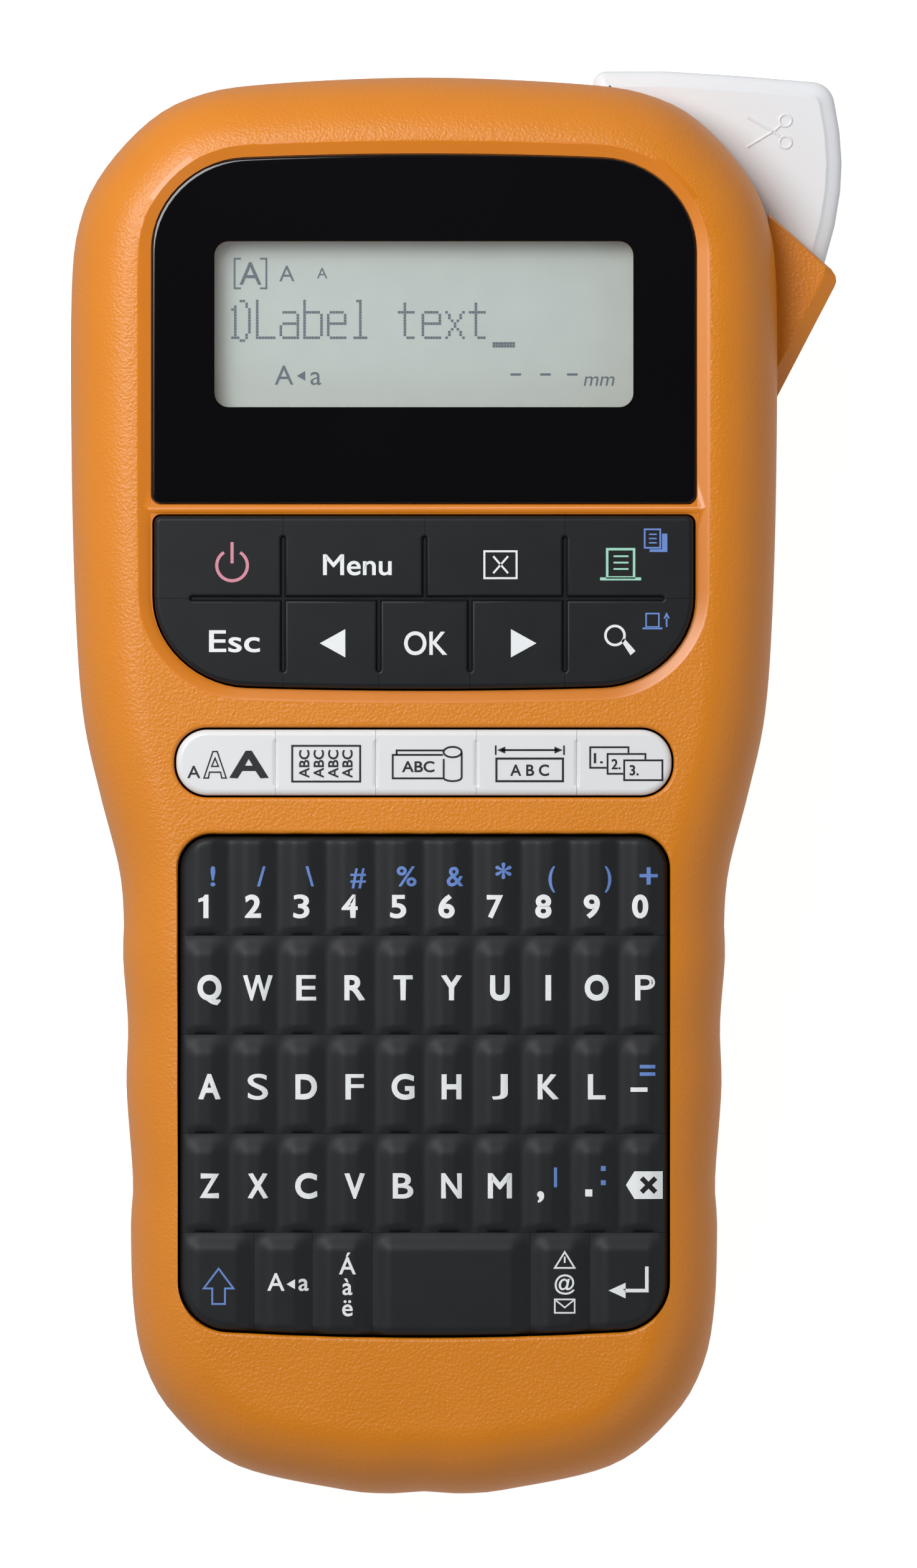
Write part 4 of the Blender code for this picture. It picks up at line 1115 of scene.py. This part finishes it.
strip_print(
    "text_key", (print_text, "A", -32.5, 1.9, 1.75, 0, 0.012, 1.85), (outlined_a, -29.5, 1.05, 3.75, 0.2),
    (print_text, "A", -24.7, 2.95, 3.9, 0, 0.035, 5.6),
)
strip_print(
    "frame_key", (print_box, -18.6, 0.55, -9.0, 5.6, 0.28),
    *((print_text, "ABC", x, 3.04, 1.46, 0, 0.022, 3.95, 90) for x in (-16.9, -14.85, -12.8, -10.8)),
)
strip_print(
    "cable_key", (print_text, "ABC", -0.8, 2.65, 1.55, 0, 0.022, 4.6),
    (print_line, [(2.7, 4.32), (-4.4, 4.32), (-4.4, 1.0), (2.8, 1.0)]
     + [(4.06 + 1.28 * math.cos(t), 1.1 - 0.5 * math.sin(t))
        for t in (2.6, 2.1, 1.57, 1.0, 0.5, 0)] + [(5.34, 4.6)], 0.27),
    (print_line, [(-3.85, 4.3), (-3.85, 4.95), (2.8, 4.95)], 0.27), (print_bar, 2.8, 3.75, 2.8, 1.1, 0.27),
    (print_line, [(4.06 + 1.28 * math.cos(t * 0.35), 4.72 + 0.74 * math.sin(t * 0.35)) for t in range(18)],
     0.27, 0, True),
)
strip_print(
    "length_key", (print_box, 10.25, 0.6, 19.65, 3.8, 0.3),
    (print_text, "A B C", 14.95, 2.15, 1.6, 0, 0.022, 5.5),
    (print_bar, 11.0, 5.0, 18.9, 5.0, 0.27), (print_area, [(10.35, 5.0), (11.5, 4.5), (11.5, 5.5)]),
    (print_area, [(19.6, 5.0), (18.45, 5.5), (18.45, 4.5)]), (print_bar, 10.15, 4.3, 10.15, 5.65, 0.24),
    (print_bar, 19.8, 4.3, 19.8, 5.65, 0.24),
)
strip_print(
    "number_key",
    (print_line, [(25.8, 2.5), (23.5, 2.5), (23.5, 5.4), (28.9, 5.4), (28.9, 4.6)], 0.26),
    (print_line, [(28.15, 1.65), (25.95, 1.65), (25.95, 4.45), (31.3, 4.45), (31.3, 3.7)], 0.26),
    (print_box, 28.3, 0.75, 33.7, 3.55, 0.26),
    *((print_text, text, x, y, 1.45, 0, 0.022, 1.3)
      for text, x, y in (("1.", 24.65, 3.85), ("2.", 27.15, 3.0), ("3.", 29.7, 2.15))),
)

# ---------------------------------------------------------------- character keys
# The keyboard of soft black rubber: four rows of ten pillowed keys and a bottom row of six. The keys swell
# from shallow valleys, each drops steeply at its lower edge, and the sheet is rounded over at its rim.

RELIEF, RIM_ROLL = 0.85, 1.0
ROW_PITCH = 14.0


def pillow_tree(look):
    """A row of pillowed keys over a flat base: each swells from its edges by a smooth curve."""
    tree = bpy.data.node_groups.new("pillow_row", "GeometryNodeTree")
    sizes = ("Width", "Length", "Side Slope", "Upper Slope", "Lower Slope", "Relief", "Base Height")
    tree.interface.new_socket("Geometry", in_out="INPUT", socket_type="NodeSocketGeometry")
    for name in sizes:
        tree.interface.new_socket(name, in_out="INPUT", socket_type="NodeSocketFloat")
    for name in ("Keys", "Across Steps", "Along Steps"):
        tree.interface.new_socket(name, in_out="INPUT", socket_type="NodeSocketInt")
    tree.interface.new_socket("Geometry", in_out="OUTPUT", socket_type="NodeSocketGeometry")
    nodes, links = tree.nodes, tree.links
    given = nodes.new("NodeGroupInput")

    def combine(operation, a, b=None):
        node = nodes.new("ShaderNodeMath")
        node.operation = operation
        for socket, value in zip(node.inputs, (a, b)):
            if isinstance(value, (int, float)):
                socket.default_value = value
            elif value is not None:
                links.new(value, socket)
        return node.outputs[0]

    def slope(distance, half, width):
        """One in the middle, falling smoothly to nothing at the edge."""
        node = nodes.new("ShaderNodeMapRange")
        node.interpolation_type = "SMOOTHSTEP"
        links.new(distance, node.inputs["Value"])
        links.new(combine("SUBTRACT", half, width), node.inputs["From Min"])
        links.new(half, node.inputs["From Max"])
        node.inputs["To Min"].default_value, node.inputs["To Max"].default_value = 1, 0
        return node.outputs["Result"]

    flat = nodes.new("GeometryNodeMeshGrid")
    for name, source in (("Size X", "Width"), ("Size Y", "Length"),
                         ("Vertices X", "Across Steps"), ("Vertices Y", "Along Steps")):
        links.new(given.outputs[source], flat.inputs[name])
    place, split = nodes.new("GeometryNodeInputPosition"), nodes.new("ShaderNodeSeparateXYZ")
    links.new(place.outputs[0], split.inputs[0])
    half_width, half_length = (combine("MULTIPLY", given.outputs[name], 0.5) for name in ("Width", "Length"))
    swell = combine("MULTIPLY",
                    slope(combine("ABSOLUTE", split.outputs["X"]), half_width, given.outputs["Side Slope"]),
                    slope(split.outputs["Y"], half_length, given.outputs["Upper Slope"]))
    swell = combine("MULTIPLY", swell, slope(combine("MULTIPLY", split.outputs["Y"], -1), half_length,
                                             given.outputs["Lower Slope"]))
    rise = combine("ADD", combine("MULTIPLY", swell, given.outputs["Relief"]), given.outputs["Base Height"])
    lift, move = nodes.new("ShaderNodeCombineXYZ"), nodes.new("GeometryNodeSetPosition")
    links.new(rise, lift.inputs["Z"])
    links.new(flat.outputs["Mesh"], move.inputs["Geometry"])
    links.new(lift.outputs[0], move.inputs["Offset"])
    line, spread = nodes.new("GeometryNodeMeshLine"), nodes.new("GeometryNodeInstanceOnPoints")
    stride, start = nodes.new("ShaderNodeCombineXYZ"), nodes.new("ShaderNodeCombineXYZ")
    links.new(given.outputs["Width"], stride.inputs["X"])
    half_back = combine("MULTIPLY", given.outputs["Width"], -0.5)
    first = combine("MULTIPLY", combine("SUBTRACT", given.outputs["Keys"], 1), half_back)
    links.new(first, start.inputs["X"])
    links.new(given.outputs["Keys"], line.inputs["Count"])
    links.new(stride.outputs[0], line.inputs["Offset"])
    links.new(start.outputs[0], line.inputs["Start Location"])
    links.new(line.outputs["Mesh"], spread.inputs["Points"])
    links.new(move.outputs[0], spread.inputs["Instance"])
    real, weld = nodes.new("GeometryNodeRealizeInstances"), nodes.new("GeometryNodeMergeByDistance")
    dress = nodes.new("GeometryNodeSetMaterial")
    weld.inputs["Distance"].default_value = 0.01 * MM
    dress.inputs["Material"].default_value = look
    links.new(spread.outputs[0], real.inputs[0])
    links.new(real.outputs[0], weld.inputs[0])
    links.new(weld.outputs[0], dress.inputs[0])
    result = nodes.new("NodeGroupOutput")
    links.new(dress.outputs[0], result.inputs[0])
    return tree


keypad_black = finish("keypad_rubber", (0.0105, 0.0115, 0.0135), 0.52, 0.25, 0.012, tone=0.1, specular=0.3)
pillows = pillow_tree(keypad_black)
pad_rim = pad_outline(0)


def rim_distance(x, y):
    """How far inside the keyboard's edge a point lies, for points that are near it."""
    nearest = 9.0
    for (ax, ay), (bx, by) in zip(pad_rim, pad_rim[1:] + pad_rim[:1]):
        if min(abs(ax - x), abs(bx - x)) > 4.5 or min(abs(ay - y), abs(by - y)) > 4.5:
            continue
        dx, dy = bx - ax, by - ay
        share = max(0.0, min(1.0, ((x - ax) * dx + (y - ay) * dy) / (dx * dx + dy * dy)))
        nearest = min(nearest, math.hypot(x - ax - share * dx, y - ay - share * dy))
    return nearest


def near_rim(x, y):
    in_upper_corner = abs(x) > 29 and y > pad_high[1] - 6
    return abs(x) > pad_high[0] - 1.2 or y > pad_high[1] - 1.2 or y < pad_low[1] + 8 or in_upper_corner


def rolled_over(x, y):
    """How much lower the sheet is at a point, from its rounding towards the rim."""
    if not near_rim(x, y):
        return 0.0
    share = 1 - min(1.0, rim_distance(x, y) / RIM_ROLL)
    return RIM_ROLL * (1 - math.sqrt(max(0.0, 1 - share * share)))


def pillow_row(node, left, right, low, top, keys, upper_slope, lower_slope):
    """One row or one wide key: pillows from the node tree, trimmed to the keyboard, with sides and a foot."""
    width, length = (right - left) / keys, top - low
    row = grown(as_piece(f"{node}_top", bmesh.new()), pillows, {
        "Width": width * MM, "Length": length * MM, "Side Slope": 2.7 * MM, "Upper Slope": upper_slope * MM,
        "Lower Slope": lower_slope * MM, "Relief": RELIEF * MM, "Base Height": (TOP - RELIEF) * MM,
        "Keys": keys,
        "Across Steps": round(width / 0.36) + 1, "Along Steps": round(length / 0.4) + 1,
    })
    mesh = bmesh.new()
    mesh.from_mesh(row.data)
    for vertex in mesh.verts:
        vertex.co.x = vertex.co.x * (1 - 2 * SIDE_GAP / (right - left)) + (left + right) / 2 * MM
        vertex.co.y = vertex.co.y * (1 - 2 * SIDE_GAP / length) + (low + top) / 2 * MM
    rim = [edge for edge in mesh.edges if edge.is_boundary]
    skirt = bmesh.ops.extrude_edge_only(mesh, edges=rim)["geom"]
    for vertex in (part for part in skirt if isinstance(part, bmesh.types.BMVert)):
        vertex.co.z = FOOT * MM
    bmesh.ops.contextual_create(mesh, geom=[edge for edge in mesh.edges if edge.is_boundary])
    bmesh.ops.recalc_face_normals(mesh, faces=mesh.faces)
    mesh.to_mesh(row.data)
    mesh.free()
    if node in TRIMMED:
        carve(row, straight("rim", pad_rim, 44, 60), "INTERSECT")
    for vertex in row.data.vertices:
        if vertex.co.z > (TOP - RELIEF - 0.3) * MM:
            vertex.co.z -= rolled_over(vertex.co.x / MM, vertex.co.y / MM) * MM
    smooth_edges(face_with(row, keypad_black), 55)
    row.modifiers.clear()
    settle_in(row, node, "keypad_rubber", node)
    return BVHTree.FromPolygons([vertex.co / MM for vertex in row.data.vertices],
                                [list(face.vertices) for face in row.data.polygons])


def resting_on(tree):
    """The height of a pillowed surface under a point."""
    def height(x, y):
        hit = tree.ray_cast(Vector((x, y, 70)), Vector((0, 0, -1)))[0]
        return hit.z if hit else TOP - RELIEF
    return height


ROW_TOPS = [pad_high[1] - ROW_PITCH * i for i in range(5)]
ROWS = {"digit_keys": 0, "upper_letter_keys": 1, "middle_letter_keys": 2, "lower_letter_keys": 3}
BOTTOM_LINES = [-34.45, -24.0, -15.8, -7.3, 15.0, 23.4, 34.45]
BOTTOM = ("shift_key", "caps_key", "accent_key", "space_key", "symbol_key", "enter_key")
TRIMMED = ("digit_keys", *BOTTOM)
surfaces = {}
for node, i in ROWS.items():
    surfaces[node] = resting_on(pillow_row(node, pad_low[0], pad_high[0],
                                           ROW_TOPS[i] - ROW_PITCH, ROW_TOPS[i],
                                           10, 3.0 if i else 0.01, 1.0))
for node, left, right in zip(BOTTOM, BOTTOM_LINES, BOTTOM_LINES[1:]):
    surfaces[node] = resting_on(pillow_row(node, left, right, pad_low[1] - 0.5, ROW_TOPS[4], 1, 2.6, 0.01))


def key_print(node, *steps):
    lay_print(f"{node}_legends", drawn_sheet(steps), INKS, surfaces[node], node, "keypad_rubber", step=0.42)


COLUMNS = [-30.3 + 6.84 * i for i in range(10)]
WIDTHS = dict(zip("QWERTYUIOPASDFGHJKLZXCVBNM!/\\#%&*()+",
                  (3.4, 4.2, 2.8, 2.9, 2.75, 2.95, 2.8, 0.8, 3.4, 2.8, 3.15, 2.9,
                   3.05, 2.6, 3.25, 2.8, 2.25, 3, 2.5, 2.75, 2.9, 3.15, 2.9, 2.9,
                   2.9, 3.4, 0.7, 1.2, 1.2, 2.2, 2.8, 2.35, 2.3, 0.95, 0.95, 2.6)))
BOLD = 0.02


def natural_width(letter):
    points = [vertex.co.x for vertex in drawn("letter", letter, 0).vertices]
    return max(points) - min(points)


PLAIN_STEM, KEY_STEM = natural_width("I"), 0.76


def weight_for(letter, width):
    """How much to thicken a letter so that its uprights are one width once it is stretched."""
    needed = (KEY_STEM * natural_width(letter) / width - PLAIN_STEM) / (2 * (1 - KEY_STEM / width))
    return min(0.042, max(0.008, needed))


def lettered(letters, y):
    """Drawing steps for a row of letters, one to a key."""
    return [(print_text, letter, x, y, 3.6, WHITE, weight_for(letter, WIDTHS[letter]), WIDTHS[letter])
            for letter, x in zip(letters, COLUMNS)]


def digit_one(sheet, x, y):
    """A one with a flag at its head."""
    print_area(sheet, [(x - 0.05, y - 1.66), (x + 0.67, y - 1.66), (x + 0.67, y + 1.66), (x + 0.15, y + 1.66),
                       (x - 0.1, y + 1.3), (x - 0.75, y + 1.08), (x - 0.75, y + 0.6), (x - 0.05, y + 0.75)],
               WHITE)


key_print(
    "digit_keys",
    (digit_one, COLUMNS[0] - 0.8, -17.1),
    *((print_text, digit, x - 0.7, -17.1, 3.3, WHITE, weight_for(digit, 2.3), 2.3)
      for digit, x in zip("234567890", COLUMNS[1:])),
    *((print_text, mark, x + (1.6 if mark == ")" else 0.5), -12.85,
       3.5 if mark in "*+" else 2.8, BLUE, BOLD * 0.8, WIDTHS[mark])
      for mark, x in zip("!/\\#%&*()+", COLUMNS)),
)
key_print("upper_letter_keys", *lettered("QWERTYUIOP", -28.6))
key_print(
    "middle_letter_keys",
    *lettered("ASDFGHJKL", -42.6),
    (print_bar, 29.2, -43.0, 31.6, -43.0, 0.62, WHITE), (print_bar, 30.5, -39.75, 32.7, -39.75, 0.5, BLUE),
    (print_bar, 30.5, -40.8, 32.7, -40.8, 0.5, BLUE),
)


def backspace_sign(sheet, x, y):
    """A solid tag pointing left with a cross cut out of it, made as a left and a right half."""
    arm, half_bar, half = 1.0, 0.25, 1.95
    cross = [(0, -2 * half_bar), (arm - half_bar, -arm - half_bar), (arm + half_bar, -arm + half_bar),
             (2 * half_bar, 0),
             (arm + half_bar, arm - half_bar), (arm - half_bar, arm + half_bar), (0, 2 * half_bar)]
    for side, ends in ((-1, [(2.0, half), (3.2, 0), (2.0, -half)]), (1, [(2.0, half), (2.0, -half)])):
        outline = [(0, half), *ends, (0, -half), *cross]
        print_area(sheet, [(x + side * across, y + up) for across, up in outline], WHITE)


key_print(
    "lower_letter_keys",
    *lettered("ZXCVBNM", -56.6),
    (print_text, ",", 16.5, -56.2, 4.2, WHITE, BOLD), (print_bar, 18.6, -54.0, 18.6, -56.8, 0.45, BLUE),
    (print_block, 22.8, -58.1, 23.8, -57.1, WHITE), (print_block, 25.0, -54.5, 25.7, -53.8, BLUE),
    (print_block, 25.0, -56.5, 25.7, -55.8, BLUE), (backspace_sign, 31.75, -56.5),
)
key_print(
    "shift_key",
    (print_line, [(-29.0, -68.3), (-26.9, -71.1), (-28.1, -71.1), (-28.1, -73.3), (-29.9, -73.3),
                  (-29.9, -71.1), (-31.1, -71.1)], 0.26, BLUE, True),
)
key_print(
    "caps_key", (print_text, "A", -20.9, -70.2, 2.5, WHITE, 0.014),
    (print_text, "a", -17.0, -70.2, 2.5, WHITE, 0.014),
    (print_area, [(-19.4, -70.5), (-18.2, -71.2), (-18.2, -69.8)], WHITE),
)
key_print("accent_key", *((print_text, sign, -10.8, y, 2.45, WHITE, 0.014)
                          for sign, y in (("\u00c1", -67.9), ("\u00e0", -70.8), ("\u00eb", -73.8))))
key_print(
    "symbol_key", (print_line, [(19.9, -65.95), (21.3, -68.2), (18.5, -68.2)], 0.24, WHITE, True),
    (print_bar, 19.9, -66.6, 19.9, -67.5, 0.24, WHITE), (print_text, "@", 19.9, -70.3, 2.1, WHITE, 0.01),
    (print_box, 18.5, -74.55, 21.3, -72.65, 0.22, WHITE),
    (print_line, [(18.6, -72.75), (19.9, -73.8), (21.2, -72.75)], 0.2, WHITE),
)
key_print(
    "enter_key", (print_line, [(31.5, -68.0), (31.5, -71.4), (28.2, -71.4)], 0.5, WHITE),
    (print_area, [(26.1, -71.4), (28.5, -72.5), (28.5, -70.3)], WHITE),
)

# ---------------------------------------------------------------- parts inside the casing
# The board, the rubber mat, the moulded frame and the works behind the back cover. They are seen when the
# cover, the cassette and the cells are lifted out, so each has the finish of its own material.


def dress(look, *nodes):
    for node in nodes:
        solid = bpy.data.objects[node]
        solid.data.materials.clear()
        solid.data.materials.append(look)


steel = finish("bright_steel", (0.56, 0.57, 0.59), 0.28, 0.5, 0.002, metallic=1.0, tone=0.06)
brass = finish("turned_brass", (0.72, 0.5, 0.2), 0.3, 0.5, 0.002, metallic=1.0, tone=0.05)
aluminium = finish("plain_aluminium", (0.75, 0.76, 0.78), 0.35, 0.6, 0.002, metallic=1.0, tone=0.04)
spring_steel = finish("spring_steel", (0.5, 0.5, 0.52), 0.3, 0.4, 0.001, metallic=1.0, tone=0.05)
frame_plastic = finish("frame_plastic", (0.03, 0.03, 0.033), 0.5, 0.4, 0.01)
cassette_plastic = finish("cassette_plastic", (0.08, 0.08, 0.085), 0.4, 0.4, 0.008)
acetal = finish("gear_acetal", (0.78, 0.78, 0.73), 0.42, 0.5, 0.003)
tape = finish("wound_tape", (0.82, 0.82, 0.80), 0.4, 0.3, 0.006, stretch=(1, 1, 0.05))
board_green = finish("board_green", (0.02, 0.17, 0.08), 0.45, 0.8, 0.004, tone=0.15)
jacket = finish("cell_jacket", (0.1, 0.12, 0.16), 0.3, 0.6, 0.001, metallic=0.4, tone=0.05)
inlet_black = finish("inlet_black", (0.02, 0.02, 0.02), 0.4, 0.4, 0.004)
dress(frame_plastic, "bay_frame")
dress(keypad_black, "keypad_mat", "platen_roller")
dress(board_green, "main_board")
dress(steel, "drive_motor", "cutter_lever_pin", "cutter_blade", *(f"case_screw_{i}" for i in range(1, 5)))
dress(aluminium, "print_head")
dress(spring_steel, "cutter_return_spring", "battery_contacts_low", "battery_contacts_top")
dress(inlet_black, "power_inlet")
dress(cassette_plastic, "cassette_case", "cassette_lid")
dress(tape, "tape_roll")
dress(jacket, *(f"battery_{i}" for i in range(1, 7)))
dress(acetal, "platen_gear", "idler_gear", "ribbon_spindle")
dress(brass, "motor_pinion")
